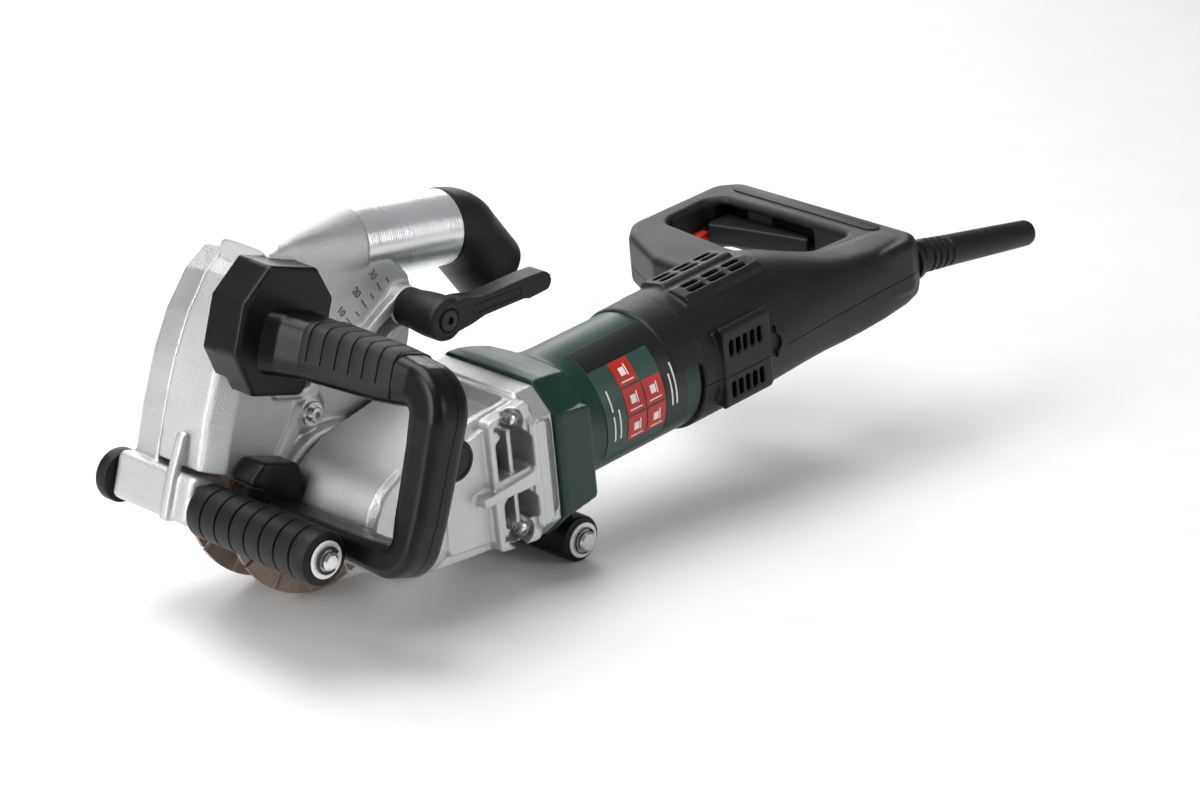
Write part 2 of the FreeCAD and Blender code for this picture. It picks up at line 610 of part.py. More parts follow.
def side_handle():
    x0, x1 = HANDLE_X
    z0, z1 = HANDLE_Z
    reach, thick = D["handle_reach"], D["handle_thick"]
    bend = 17
    loop = block("Handle_outer", (x0, x1), (-reach, -28), (z0, z1))
    loop = rounded("Handle_round", loop, bend, lambda e: along(e, (1, 0, 0)) and e.BoundBox.YMax < -100)
    room = block("Handle_room", (x0 - 1, x1 + 1), (-reach + thick, 0), (z0 + 15, z1 - 29))
    room = rounded("Handle_room_round", room, 9, lambda e: along(e, (1, 0, 0)) and e.BoundBox.YMax < -100)
    middle = (x0 + x1) / 2
    for label, a, b in (("handle_front_shell", x0 - 1, middle - 0.05), ("handle_rear_shell", middle + 0.05, x1 + 1)):
        side = doc.addObject("Part::Common", label + "_side")
        side.Base = cut(label + "_loop", loop, room)
        side.Tool = block(label + "_half", (a, b), (-200, 0), (-20, 130))
        node(side, label, GUARD)
    node(block("Grip_pad", (x0 + 2, x1 - 2), (-124, -32), (z1, z1 + 1.2)), "handle_grip", GUARD,
         at(x0 + 2, -124, z1))
    base = [(-236, 118), (-222, 138), (-182, 138), (-165, 122), (-165, 88), (-180, 71), (-218, 70), (-236, 90)]
    foot = [(-199.5, -4), (-199.5, 18), (-209, 19.5), (-209, 24), (-203, 33), (-179, 33), (-173, 26), (-173, -4)]
    y0, y1, tip = -27.9, D["plate_y"], -22
    for label, points, places in (("handle_base", base, BASE_SCREWS), ("handle_foot", foot, FOOT_SCREWS)):
        holes = [rod("Blind_hole", HANDLE_SCREW_RADIUS, (x, tip, z), (x, y1 + 1, z)) for x, z in places]
        solid = plate(label + "_plate", points, y0, y1)
        if points is base:
            wrap = plate("Base_wrap", points, y1, y1 + 7)
            solid = fuse("Base_outer", solid, cut("Base_lip", wrap, plate("Base_clear", NEAR_OUTLINE, y1, y1 + 8)))
        node(cut(label + "_cut", solid, *holes), label, GUARD)
    face = D["plate_y"] + D["plate_thickness"]
    screws = []
    for x, z in BASE_SCREWS + FOOT_SCREWS:
        head = rod("Inner_screw_head", 4.0, (x, face, z), (x, face + 2.4, z))
        shank = rod("Inner_screw_shank", HANDLE_SCREW_RADIUS, (x, tip, z), (x, face, z))
        screws.append(fuse("Inner_screw", head, shank))
    node(group("handle_screw_set", screws), "handle_screws", GUARD)


def guard_screw():
    y = D["plate_y"] - 4
    head = rod("Torx_head", 4.6, (-163, y - 4.6, 57), (-163, y - 1.6, 57))
    washer = rod("Torx_washer", 7, (-163, y - 1.6, 57), (-163, y, 57))
    shank = rod("Torx_shank", 3, (-163, y, 57), (-163, y + 8, 57))
    node(fuse("torx", head, washer, shank), "guard_screw", GUARD)


# ---------------------------------------------------------------- roller frame, hinged on the rear axle
def roller_frame():
    far = D["far_wall_y"]
    split = D["chamber_split_y"] + 0.5
    front = [(-218, -9), (-218, 60), (-208, 110), (-192, 138), (-122, 138)]
    wall = plate("Cover_wall", front + [(-104, 124), (-84, 60), (-50, 20), (0, 10), (9, 5), (9, -5), (0, -9)],
                 far - 4, far)
    strip = plate("Cover_strip", front + [(-122, 134), (-190, 134), (-204.5, 108), (-214, 60), (-214, -9)],
                  split, far)
    beam = block("Cover_beam", (-229, -205), (-3.5, 61.5), (-9, 18))
    beam = rounded("Cover_beam_round", beam, 5, lambda e: along(e, (0, 1, 0)) and e.BoundBox.XMax < -220)
    px, pz = arc_point(D["slot_radius"], D["slot_end"])
    post = rod("Cover_post", 8.5, (px, -4.5, pz), (px, far, pz))
    eye = rod("Cover_eye", 11, (0, 42, 0), (0, far, 0))
    rib = plate("Cover_rib", [(-120, -9), (-100, 2), (-60, 8), (0, 8), (0, -8), (-60, -9)], far - 14, far)
    ax, az = D["front_axle_x"], D["front_axle_z"]
    bores = [rod("Cover_front_bore", D["axle_radius"], (ax, -10, az), (ax, 70, az)),
             rod("Cover_bolt_bore", D["bolt_radius"], (px, -10, pz), (px, 70, pz)),
             rod("Cover_pivot_bore", D["pivot_radius"], (0, 30, 0), (0, 70, 0))]
    node(cut("cover", fuse("Cover_outer", wall, strip, beam, post, eye, rib), *bores), "guard_cover", GUARD)

    front_axle = ring("Front_axle_bar", 0, D["axle_radius"], -106, 77)
    node(front_axle, "front_axle", GUARD, at(ax, 0, az))
    node(ring("Rear_axle_bar", 0, D["pivot_radius"], -82, 62), "rear_axle", GUARD)
    washers = [ring("Washer", D["axle_radius"], 10.3, y0, y0 + 1.4) for y0 in (-101.8, 72.4)]
    for w in washers:
        w.Placement = at(ax, 0, az)
    washers.append(ring("Washer", D["pivot_radius"], 10.3, -77.8, -76.4))
    node(group("washer_set", washers), "axle_washers", GUARD)
    clips = [clip(D["axle_radius"], y) for y in (-103.3, 74.3)]
    for c in clips:
        c.Placement = at(ax, 0, az)
    clips.append(clip(D["pivot_radius"], -79.3))
    node(group("clip_set", clips), "axle_clips", GUARD)
    bolt = fuse("Bolt", rod("Bolt_shank", D["bolt_radius"], (px, -46, pz), (px, far + 0.1, pz)),
                rod("Bolt_head", 7, (px, far, pz), (px, far + 5, pz)))
    node(bolt, "clamp_bolt", GUARD)


def clip(radius, y):
    """Open ring clip round a shaft, its gap to the rear."""
    full = ring("Clip_ring", radius, 7.6, y, y + 1.0)
    return cut("Clip", full, block("Clip_gap", (0, 12), (y - 1, y + 2), (-radius * 0.8, radius * 0.8)))


def rollers():
    ax, az = D["front_axle_x"], D["front_axle_z"]
    r, gap = D["front_roller_radius"], D["running_gap"]
    bore = D["axle_radius"] + gap
    width = D["wide_roller_width"]
    y0 = -5.0 - width
    profile = [(bore, y0), (r - 1.2, y0), (r, y0 + 1.2)]
    ribs = 8
    for k in range(1, ribs):
        y = y0 + width * k / ribs
        profile += [(r, y - 0.6), (r - 1.4, y - 0.6), (r - 1.4, y + 0.6), (r, y + 0.6)]
    profile += [(r, -6.2), (r - 1.2, -5.0), (bore, -5.0)]
    node(turned("Wide_roller", profile), "front_wide_roller", GUARD, at(ax, 0, az))
    small = turned("Small_roller", [(bore, 63), (r - 1, 63), (r, 64), (r, 71), (r - 1, 72), (bore, 72)])
    node(small, "front_small_roller", GUARD, at(ax, 0, az))
    r = D["rear_roller_radius"]
    bore = D["pivot_radius"] + gap
    y1 = -24.0
    y0 = y1 - D["rear_roller_width"]
    rear = turned("Rear_roller", [(bore, y0), (r - 1.2, y0), (r, y0 + 1.2), (r, y1 - 1.2), (r - 1.2, y1),
                                  (bore, y1)])
    node(rear, "rear_roller", GUARD)


def clamp_lever():
    px, pz = arc_point(D["slot_radius"], D["slot_end"])
    washer = ring("Clamp_washer_ring", D["bolt_radius"], 11, -16.2, -14.3)
    node(washer, "clamp_washer", GUARD, at(px, 0, pz))
    hub = turned("Lever_hub", [(4.05, -50), (11, -50), (12.5, -48), (12.5, -32), (11, -20), (11, -16.5),
                               (4.05, -16.5)])
    arm = plate("Lever_arm", [(0, -8), (20, -5.5), (70, -6), (77, -3), (77, 3), (72, 6), (20, 5.5), (0, 8)],
                -51, -38)
    arm = rounded("Lever_arm_round", arm, 2, lambda e: True)
    through = rod("Lever_bore", 4.05, (0, -60, 0), (0, -10, 0))
    seat = rod("Lever_seat", 6.6, (0, -60, 0), (0, -48.5, 0))
    lever = cut("lever", fuse("Lever_whole", hub, arm), through, seat)
    node(lever, "clamp_lever", GUARD, at(px, 0, pz, FreeCAD.Rotation(V(0, 1, 0), -19)))
    screw = fuse("Lever_screw_solid", rod("Lever_screw_head", 6.2, (0, -51.5, 0), (0, -48.5, 0)),
                 rod("Lever_screw_shank", 3, (0, -48.5, 0), (0, -46.2, 0)))
    node(screw, "lever_screw", GUARD, at(px, 0, pz))


def pipe(radius, tail):
    """Round bar: a short lead along z, the elbow's bend towards x, then a straight tail."""
    lead, bend_radius, a = 1.5, D["bend_radius"], math.radians(D["bend_angle"])
    centre = V(bend_radius, 0, lead)
    mid = centre + V(-math.cos(a / 2), 0, math.sin(a / 2)) * bend_radius
    end = centre + V(-math.cos(a), 0, math.sin(a)) * bend_radius
    start = V(0, 0, lead)
    out = end + V(math.sin(a), 0, math.cos(a)) * tail
    path = Part.Wire([Part.LineSegment(V(0, 0, 0), start).toShape(), Part.Arc(start, mid, end).toShape(),
                      Part.LineSegment(end, out).toShape()])
    profile = Part.Wire([Part.makeCircle(radius, V(0, 0, 0), V(0, 0, 1))])
    return path.makePipeShell([profile], True, True)


def dust_elbow():
    wall = D["tube_wall"] + 0.6
    outer = pipe(D["tube_radius"], D["tail_length"])
    inner = pipe(D["tube_radius"] - wall, D["tail_length"] + 1)
    spigot = Part.makeCylinder(D["tube_radius"] - D["tube_wall"] - 0.1, 18.5, V(0, 0, -18))
    lead = Part.makeCylinder(D["tube_radius"] - wall - 1.5, 20, V(0, 0, -19))
    shape = outer.fuse(spigot).cut(inner).cut(lead).removeSplitter()
    elbow = doc.addObject("Part::Feature", "Elbow_shape")
    elbow.Shape = shape
    down = V(TUBE_LINE.z, 0, -TUBE_LINE.x)
    turn = FreeCAD.Rotation(down, TUBE_LINE.cross(down), TUBE_LINE, "XZY")
    node(elbow, "dust_elbow", GUARD, FreeCAD.Placement(V(*tube_at(D["tube_length"] + 0.3)), turn))


def spindle_lock():
    button = turned("Lock_profile", [(0, -95), (9.5, -95), (12, -93), (12, -88.5), (3.9, -88.5), (3.9, -80),
                                     (0, -80)])
    node(button, "spindle_lock_button", TOOL, at(LOCK_AT[0], 0, LOCK_AT[1]))


def finish():
    doc.recompute()
    bad = [o.Name for o in doc.Objects if "Invalid" in o.State or "Error" in o.State]
    for obj in parts:
        if obj.Shape.isNull() or not obj.Shape.isValid() or not obj.Shape.Solids:
            bad.append(obj.Label)
    if bad:
        raise RuntimeError("failed objects: " + ", ".join(bad))
    os.makedirs("parts", exist_ok=True)
    for obj in parts:
        obj.Shape.exportStep("parts/" + obj.Label + ".step")
        box = obj.Shape.BoundBox
        print("%-24s %8.1f mm3  solids %d  x %.1f..%.1f y %.1f..%.1f z %.1f..%.1f" % (
            obj.Label, obj.Shape.Volume, len(obj.Shape.Solids), box.XMin, box.XMax, box.YMin, box.YMax,
            box.ZMin, box.ZMax))
    whole = Part.makeCompound([o.Shape for o in parts]).BoundBox
    print("whole x %.2f..%.2f y %.2f..%.2f z %.2f..%.2f" % (whole.XMin, whole.XMax, whole.YMin, whole.YMax,
                                                          whole.ZMin, whole.ZMax))


drive_train()
bearings()
gear_case()
motor()
brushes()
rear_casing()
cable_entry()
guard_parts()
side_handle()
guard_screw()
roller_frame()
rollers()
clamp_lever()
dust_elbow()
spindle_lock()
finish()
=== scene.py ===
"""Looks of the wall chaser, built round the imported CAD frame.

Shapes are drawn in millimetres and put in place in metres.  Most are drawn in one of two local frames:
TOOL for the motor and gear head, GUARD for the disc guard, rollers and side handle.  The dust tube and its
elbow are drawn in the row frame itself, ROW.  In all three, x runs to the rear, y to the far side and z up.
"""
import json
import math

import bmesh
import bpy
from mathutils import Matrix, Vector


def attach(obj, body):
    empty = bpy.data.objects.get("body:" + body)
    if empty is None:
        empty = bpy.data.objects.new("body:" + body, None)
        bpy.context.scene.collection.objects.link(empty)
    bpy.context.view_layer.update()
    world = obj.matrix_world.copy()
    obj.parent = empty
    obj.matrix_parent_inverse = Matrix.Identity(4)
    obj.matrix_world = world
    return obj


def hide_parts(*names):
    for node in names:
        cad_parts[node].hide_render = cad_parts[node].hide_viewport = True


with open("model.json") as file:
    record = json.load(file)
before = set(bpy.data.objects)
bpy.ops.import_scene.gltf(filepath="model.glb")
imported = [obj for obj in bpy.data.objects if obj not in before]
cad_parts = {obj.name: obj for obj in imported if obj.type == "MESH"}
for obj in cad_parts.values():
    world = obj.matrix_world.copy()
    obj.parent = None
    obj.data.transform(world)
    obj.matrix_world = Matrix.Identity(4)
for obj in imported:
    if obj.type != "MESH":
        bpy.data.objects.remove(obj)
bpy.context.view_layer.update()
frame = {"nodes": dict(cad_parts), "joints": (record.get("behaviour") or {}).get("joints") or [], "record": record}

MM = 0.001
MOTOR_Y = -47.0
CAMERA_AZIMUTH, CAMERA_ELEVATION = math.radians(-44.97), math.radians(20.65)
CAMERA_FROM_SPINDLE = Vector((-1.3260, -1.5468, 0.8140))


# ---------------------------------------------------------------- frames and camera
def joint(name):
    return next(j for j in frame["joints"] if j["name"] == name)


def local_frame(origin, x_axis):
    """Matrix from local millimetres to the row frame, for a frame turned about y only."""
    x, y = Vector(x_axis).normalized(), Vector((0, 1, 0))
    turn = Matrix((x, y, x.cross(y))).transposed().to_4x4()
    return Matrix.Translation(origin) @ turn @ Matrix.Scale(MM, 4)


SPINDLE = Vector(joint("spindle_spin")["pos_m"])
PIVOT = Vector(joint("depth_swing")["pos_m"])
AXLE_LIFT = 1.5
AXLE_REACH = 218.0
TO_AXLE = Vector(joint("wide_roller_spin")["pos_m"]) - PIVOT
GUARD_PITCH = math.atan2(TO_AXLE.z, -TO_AXLE.x) - math.atan2(AXLE_LIFT, AXLE_REACH)
TOOL = local_frame(SPINDLE, joint("armature_spin")["axis"])
GUARD = local_frame(PIVOT, (math.cos(GUARD_PITCH), 0, -math.sin(GUARD_PITCH)))
ROW = Matrix.Scale(MM, 4)
TUBE_AXIS = Vector(joint("dust_elbow_turn")["axis"]).normalized()
TUBE_END = Vector(joint("dust_elbow_turn")["pos_m"])
BOLT = GUARD.inverted() @ Vector(joint("clamp_lever_turn")["pos_m"])
SIDEWAYS = Vector((0, 1, 0))
REARWARD = Vector((1, 0, 0))


def camera():
    data = bpy.data.cameras.new("camera")
    data.lens = 120.0
    data.sensor_width = 36.0
    eye = bpy.data.objects.new("camera", data)
    azimuth, elevation = CAMERA_AZIMUTH, CAMERA_ELEVATION
    back = Vector((math.sin(azimuth) * math.cos(elevation), -math.cos(azimuth) * math.cos(elevation),
                   math.sin(elevation)))
    right = Vector((math.cos(azimuth), math.sin(azimuth), 0))
    up = back.cross(right)
    turn = Matrix((right, up, back)).transposed().to_4x4()
    eye.matrix_world = Matrix.Translation(SPINDLE + CAMERA_FROM_SPINDLE) @ turn
    bpy.context.scene.collection.objects.link(eye)
    bpy.context.scene.camera = eye


camera()


# ---------------------------------------------------------------- mesh kit
def mesh_object(name, verts, faces):
    mesh = bpy.data.meshes.new(name)
    mesh.from_pydata([tuple(v) for v in verts], [], faces)
    bm = bmesh.new()
    bm.from_mesh(mesh)
    bmesh.ops.recalc_face_normals(bm, faces=bm.faces)
    bm.to_mesh(mesh)
    bm.free()
    obj = bpy.data.objects.new(name, mesh)
    bpy.context.scene.collection.objects.link(obj)
    return obj


def apply(obj):
    """Bake the object's modifiers into its mesh."""
    graph = bpy.context.evaluated_depsgraph_get()
    mesh = bpy.data.meshes.new_from_object(obj.evaluated_get(graph))
    obj.modifiers.clear()
    obj.data = mesh
    return obj


def boolean(base, tools, how):
    for tool in tools:
        mod = base.modifiers.new("bool", "BOOLEAN")
        mod.operation = how
        mod.solver = "MANIFOLD"
        mod.object = tool
    apply(base)
    for tool in tools:
        bpy.data.objects.remove(tool)
    return base


def union(base, *tools):
    return boolean(base, tools, "UNION")


def less(base, *tools):
    return boolean(base, tools, "DIFFERENCE")


def shared(base, tool):
    return boolean(base, [tool], "INTERSECT")


def copy_of(obj):
    twin = bpy.data.objects.new(obj.name, obj.data.copy())
    bpy.context.scene.collection.objects.link(twin)
    return twin


def bevel(obj, width, segments=3, angle=35):
    mod = obj.modifiers.new("bevel", "BEVEL")
    mod.width = width
    mod.segments = segments
    mod.limit_method = "ANGLE"
    mod.angle_limit = math.radians(angle)
    mod.use_clamp_overlap = True
    return apply(obj)


def melt(obj, voxel, rounds=4, factor=0.5):
    """Turn a solid into one skin of small quads and soften its edges, as on a casting or moulding."""
    mod = obj.modifiers.new("remesh", "REMESH")
    mod.mode = "VOXEL"
    mod.voxel_size = voxel
    soft = obj.modifiers.new("smooth", "SMOOTH")
    soft.factor = factor
    soft.iterations = rounds
    return apply(obj)


def soften(points, radius, steps=6):
    """Round the corners of a closed outline."""
    out = []
    for i, point in enumerate(points):
        before, here, after = Vector(points[i - 1]), Vector(point), Vector(points[(i + 1) % len(points)])
        a, b = before - here, after - here
        half = a.angle(b) / 2
        if half > 1.5:
            out.append(tuple(here))
            continue
        reach = min(radius / math.tan(half), a.length * 0.48, b.length * 0.48)
        start, end = here + a.normalized() * reach, here + b.normalized() * reach
        for k in range(steps + 1):
            t = k / steps
            out.append(tuple(start * (1 - t) ** 2 + here * 2 * t * (1 - t) + end * t * t))
    return out


LAYOUT = {"x": lambda a, b, t: (t, a, b), "y": lambda a, b, t: (a, t, b), "z": lambda a, b, t: (a, b, t)}


def prism(axis, points, low, high):
    """Prism along an axis; the outline holds the other two coordinates in x, y, z order."""
    n = len(points)
    verts = [LAYOUT[axis](a, b, t) for t in (low, high) for a, b in points]
    faces = [tuple(range(n)), tuple(range(2 * n - 1, n - 1, -1))]
    faces += [(i, (i + 1) % n, n + (i + 1) % n, n + i) for i in range(n)]
    return mesh_object("prism", verts, faces)


def box(x, y, z):
    return prism("z", [(x[0], y[0]), (x[1], y[0]), (x[1], y[1]), (x[0], y[1])], z[0], z[1])


def loft(rings, closed=False):
    """Skin through rings of equal length, capped at both ends, or closed on itself."""
    n = len(rings[0])
    verts = [p for ring in rings for p in ring]
    faces = []
    last = len(rings) if closed else len(rings) - 1
    for k in range(last):
        a, b = k * n, (k + 1) % len(rings) * n
        faces += [(a + i, a + (i + 1) % n, b + (i + 1) % n, b + i) for i in range(n)]
    if not closed:
        faces += [tuple(range(n)), tuple(range(len(verts) - 1, len(verts) - n - 1, -1))]
    return mesh_object("loft", verts, faces)


def once_round(steps):
    return [2 * math.pi * k / steps for k in range(steps)]


def square_to(axis):
    """The axis as a unit vector, and two more that are square to it and to each other."""
    axis = Vector(axis).normalized()
    side = axis.orthogonal().normalized()
    return axis, side, axis.cross(side)


def lathe(profile, origin=(0, 0, 0), axis=(0, 1, 0), steps=96, ring=False):
    """Turn (radius, height) points about an axis; ring joins the last point to the first."""
    axis, side, other = square_to(axis)
    origin = Vector(origin)
    rings = []
    for radius, height in profile:
        rings.append([origin + axis * height + (side * math.cos(a) + other * math.sin(a)) * max(radius, 0.02)
                      for a in once_round(steps)])
    return loft(rings, closed=ring)


def rod(start, end, radius, tip=None, steps=64):
    line = Vector(end) - Vector(start)
    return lathe([(radius, 0), (tip or radius, line.length)], start, line, steps)


def rounded_rect(half_a, half_b, radius, steps=6):
    return soften([(half_a, half_b), (-half_a, half_b), (-half_a, -half_b), (half_a, -half_b)], radius, steps)


def superellipse(power, steps=96):
    """Points once round a superellipse of half sizes 1: power 2 is a circle, higher powers are squarer."""
    points = []
    for a in once_round(steps):
        c, s = math.cos(a), math.sin(a)
        r = (abs(c) ** power + abs(s) ** power) ** (-1.0 / power)
        points.append((r * c, r * s))
    return points


def heading(path, i):
    """Direction of a path at its point i, from the points before and after."""
    return (path[min(i + 1, len(path) - 1)] - path[max(i - 1, 0)]).normalized()


def arc(centre, radius, start, end, steps=10):
    """Points of a circular arc in two coordinates, angles in degrees."""
    angles = [math.radians(start + (end - start) * k / steps) for k in range(steps + 1)]
    return [(centre[0] + radius * math.cos(a), centre[1] + radius * math.sin(a)) for a in angles]


def polar(radius, degrees):
    """Point about the rear axle, the angle measured up from the forward direction."""
    a = math.radians(degrees)
    return (-radius * math.cos(a), radius * math.sin(a))


def torx(origin, axis, radius, depth):
    """Cutter for a six-lobed recess."""
    points = []
    for a in once_round(48):
        r = radius * (0.84 + 0.16 * math.cos(6 * a))
        points.append((r * math.cos(a), r * math.sin(a)))
    axis, side, other = square_to(axis)
    rings = [[Vector(origin) + axis * h + side * u + other * v for u, v in points] for h in (-depth, 1.0)]
    return loft(rings)


def piece(name, obj, place, surface, body, node=None, slot=None, sharp=32):
    """Finish a piece: put it in the row frame, shade it, tie it to its body and hide the CAD node that it
    replaces.

    The slot is the surface's name unless another is given; it is not used.
    """
    slot = slot or surface
    obj.data.transform(place)
    obj.name = name
    obj.data.name = name
    obj.data.materials.clear()
    obj.data.materials.append(MATS[surface])
    obj.data.shade_smooth()
    if sharp:
        obj.data.set_sharp_from_angle(angle=math.radians(sharp))
    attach(obj, body)
    if node:
        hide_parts(node)


# ---------------------------------------------------------------- materials
ROUGH_SPREAD = 0.10


def material(name, color, rough, metallic=0.0, grain=900.0, bump=0.12, vary=0.12, rings=None, flecks=0.0,
             shine=0.5):
    """Procedural surface: tone and roughness varied by noise, and a fine bump.

    The bump is a grain, or turning lines along the axis rings.  Flecks brings the grain into the tone.
    """
    mat = bpy.data.materials.new(name)
    mat.use_nodes = True
    nodes, links = mat.node_tree.nodes, mat.node_tree.links
    shader = nodes["Principled BSDF"]
    shader.inputs["Metallic"].default_value = metallic
    shader.inputs["Specular IOR Level"].default_value = shine
    place = nodes.new("ShaderNodeTexCoord")
    broad = nodes.new("ShaderNodeTexNoise")
    broad.inputs["Scale"].default_value = 22.0
    broad.inputs["Detail"].default_value = 5.0
    fine = nodes.new("ShaderNodeTexNoise")
    fine.inputs["Scale"].default_value = grain
    fine.inputs["Detail"].default_value = 3.0
    for noise in (broad, fine):
        links.new(place.outputs["Object"], noise.inputs["Vector"])
    mix = nodes.new("ShaderNodeMath")
    mix.operation = "MULTIPLY_ADD"
    mix.inputs[1].default_value = flecks
    links.new(fine.outputs["Fac"], mix.inputs[0])
    links.new(broad.outputs["Fac"], mix.inputs[2])
    ramp = nodes.new("ShaderNodeValToRGB")
    ramp.color_ramp.elements[0].position = 0.32 + 0.35 * flecks
    ramp.color_ramp.elements[1].position = 0.68 + 0.65 * flecks
    ramp.color_ramp.elements[0].color = [max(c * (1 - vary), 0) for c in color] + [1]
    ramp.color_ramp.elements[1].color = [min(c * (1 + vary), 1) for c in color] + [1]
    links.new(mix.outputs[0], ramp.inputs["Fac"])
    links.new(ramp.outputs["Color"], shader.inputs["Base Color"])
    span = nodes.new("ShaderNodeMapRange")
    span.inputs["To Min"].default_value = max(rough - ROUGH_SPREAD, 0.03)
    span.inputs["To Max"].default_value = min(rough + ROUGH_SPREAD, 1.0)
    links.new(broad.outputs["Fac"], span.inputs["Value"])
    links.new(span.outputs["Result"], shader.inputs["Roughness"])
    height = fine.outputs["Fac"]
    if rings is not None:
        turn = nodes.new("ShaderNodeVectorMath")
        turn.operation = "DOT_PRODUCT"
        turn.inputs[1].default_value = rings
        links.new(place.outputs["Object"], turn.inputs[0])
        lines = nodes.new("ShaderNodeTexNoise")
        lines.noise_dimensions = "1D"
        lines.inputs["Scale"].default_value = 1400.0
        lines.inputs["Detail"].default_value = 4.0
        links.new(turn.outputs["Value"], lines.inputs["W"])
        height = lines.outputs["Fac"]
    relief = nodes.new("ShaderNodeBump")
    relief.inputs["Strength"].default_value = bump
    relief.inputs["Distance"].default_value = 0.0006
    links.new(height, relief.inputs["Height"])
    links.new(relief.outputs["Normal"], shader.inputs["Normal"])
    return mat


MOTOR_LINE = Vector(joint("armature_spin")["axis"]).normalized()
SURFACES = {
    "cast_alloy": dict(color=(0.58, 0.58, 0.575), rough=0.36, metallic=0.88, grain=1500, bump=0.6, vary=0.10,
                       flecks=0.5),
    "turned_alloy": dict(color=(0.90, 0.90, 0.90), rough=0.26, metallic=0.85, grain=900, bump=0.25, vary=0.05,
                         rings=TUBE_AXIS),
    "green_plastic": dict(color=(0.003, 0.030, 0.020), rough=0.36, grain=1300, bump=0.20, vary=0.16,
                          shine=0.4),
    "black_plastic": dict(color=(0.0055, 0.0055, 0.006), rough=0.42, grain=1500, bump=0.45, vary=0.3,
                          shine=0.32),
    "gloss_black": dict(color=(0.004, 0.0036, 0.0038), rough=0.32, grain=700, bump=0.10, vary=0.2,
                        shine=0.27),
    "inner_plastic": dict(color=(0.05, 0.05, 0.055), rough=0.5, grain=900, bump=0.2, vary=0.2),
    "red_plastic": dict(color=(0.62, 0.025, 0.015), rough=0.33, grain=1000, bump=0.1, vary=0.15),
    "soft_grip": dict(color=(0.006, 0.006, 0.0063), rough=0.45, grain=1700, bump=0.5, vary=0.25, shine=0.3),
    "rubber": dict(color=(0.005, 0.0045, 0.0045), rough=0.45, grain=1100, bump=0.40, vary=0.3, rings=SIDEWAYS,
                   shine=0.25),
    "bright_steel": dict(color=(0.66, 0.66, 0.67), rough=0.22, metallic=1.0, grain=1200, bump=0.15,
                         vary=0.10),
    "dark_steel": dict(color=(0.016, 0.016, 0.017), rough=0.42, metallic=0.3, grain=1200, bump=0.15,
                       vary=0.25),
    "white_zinc": dict(color=(0.80, 0.81, 0.81), rough=0.35, metallic=0.35, grain=1200, bump=0.12, vary=0.06),
    "disc_steel": dict(color=(0.42, 0.33, 0.27), rough=0.36, metallic=0.8, grain=700, bump=0.5, vary=0.35,
                       flecks=0.5),
    "lamination": dict(color=(0.20, 0.20, 0.21), rough=0.5, metallic=0.8, grain=800, bump=0.3, vary=0.2,
                       rings=MOTOR_LINE),
    "copper": dict(color=(0.70, 0.42, 0.22), rough=0.3, metallic=1.0, grain=900, bump=0.15, vary=0.15),
    "carbon": dict(color=(0.04, 0.04, 0.04), rough=0.55, grain=900, bump=0.3, vary=0.2),
    "label": dict(color=(0.022, 0.062, 0.045), rough=0.35, grain=1200, bump=0.06, vary=0.06),
    "label_red": dict(color=(0.48, 0.016, 0.009), rough=0.38, grain=1200, bump=0.05, vary=0.08),
    "label_black": dict(color=(0.003, 0.004, 0.0035), rough=0.38, grain=1200, bump=0.05, vary=0.15),
    "label_white": dict(color=(0.80, 0.80, 0.78), rough=0.42, grain=1200, bump=0.05, vary=0.04),
    "mark_grey": dict(color=(0.11, 0.11, 0.11), rough=0.5, grain=1200, bump=0.05, vary=0.1),
}
MATS = {name: material(name, **surface) for name, surface in SURFACES.items()}


def plain_nodes():
    """Give every CAD node the material of its slot; the ones that no piece replaces keep showing it."""
    for row in frame["record"]["subparts"]:
        obj = frame["nodes"][row["node"]]
        obj.data.materials.clear()
        obj.data.materials.append(MATS[row["material_slot"]])
        for poly in obj.data.polygons:
            poly.material_index = 0


# ---------------------------------------------------------------- rollers and axles
AX, AZ = -AXLE_REACH, AXLE_LIFT
FRONT_AXLE = (AX, 0, AZ)


def grooved(bore, radius, y0, y1, ribs, edge):
    """Profile of a rubber roller from its near end to its far end."""
    profile = [(bore, y0), (radius - edge, y0), (radius - edge * 0.3, y0 + edge * 0.3), (radius, y0 + edge)]
    width = (y1 - y0) / ribs
    for k in range(1, ribs):
        y = y0 + width * k
        profile += [(radius, y - 0.85), (radius - 0.35, y - 0.5), (radius - 1.5, y - 0.42),
                    (radius - 1.5, y + 0.42),
                    (radius - 0.35, y + 0.5), (radius, y + 0.85)]
    profile += [(radius, y1 - edge), (radius - edge * 0.3, y1 - edge * 0.3), (radius - edge, y1), (bore, y1)]
    return profile


def rollers():
    wide = lathe(grooved(5.05, 15.0, -100, -5, 8, 1.6), FRONT_AXLE, steps=128, ring=True)
    piece("wide_roller", wide, GUARD, "rubber", "wide_roller", "front_wide_roller")
    small = lathe(grooved(5.05, 15.0, 63, 72, 1, 1.8), FRONT_AXLE, steps=128, ring=True)
    piece("small_roller", small, GUARD, "rubber", "small_roller", "front_small_roller")
    rear = lathe(grooved(6.05, 13.5, -76, -24, 1, 1.8), steps=128, ring=True)
    piece("back_roller", rear, GUARD, "rubber", "back_roller", "rear_roller")


def chamfered_disc(inner, outer, y0, y1, edge):
    return [(inner, y0), (outer - edge, y0), (outer, y0 + edge), (outer, y1 - edge), (outer - edge, y1),
            (inner, y1)]


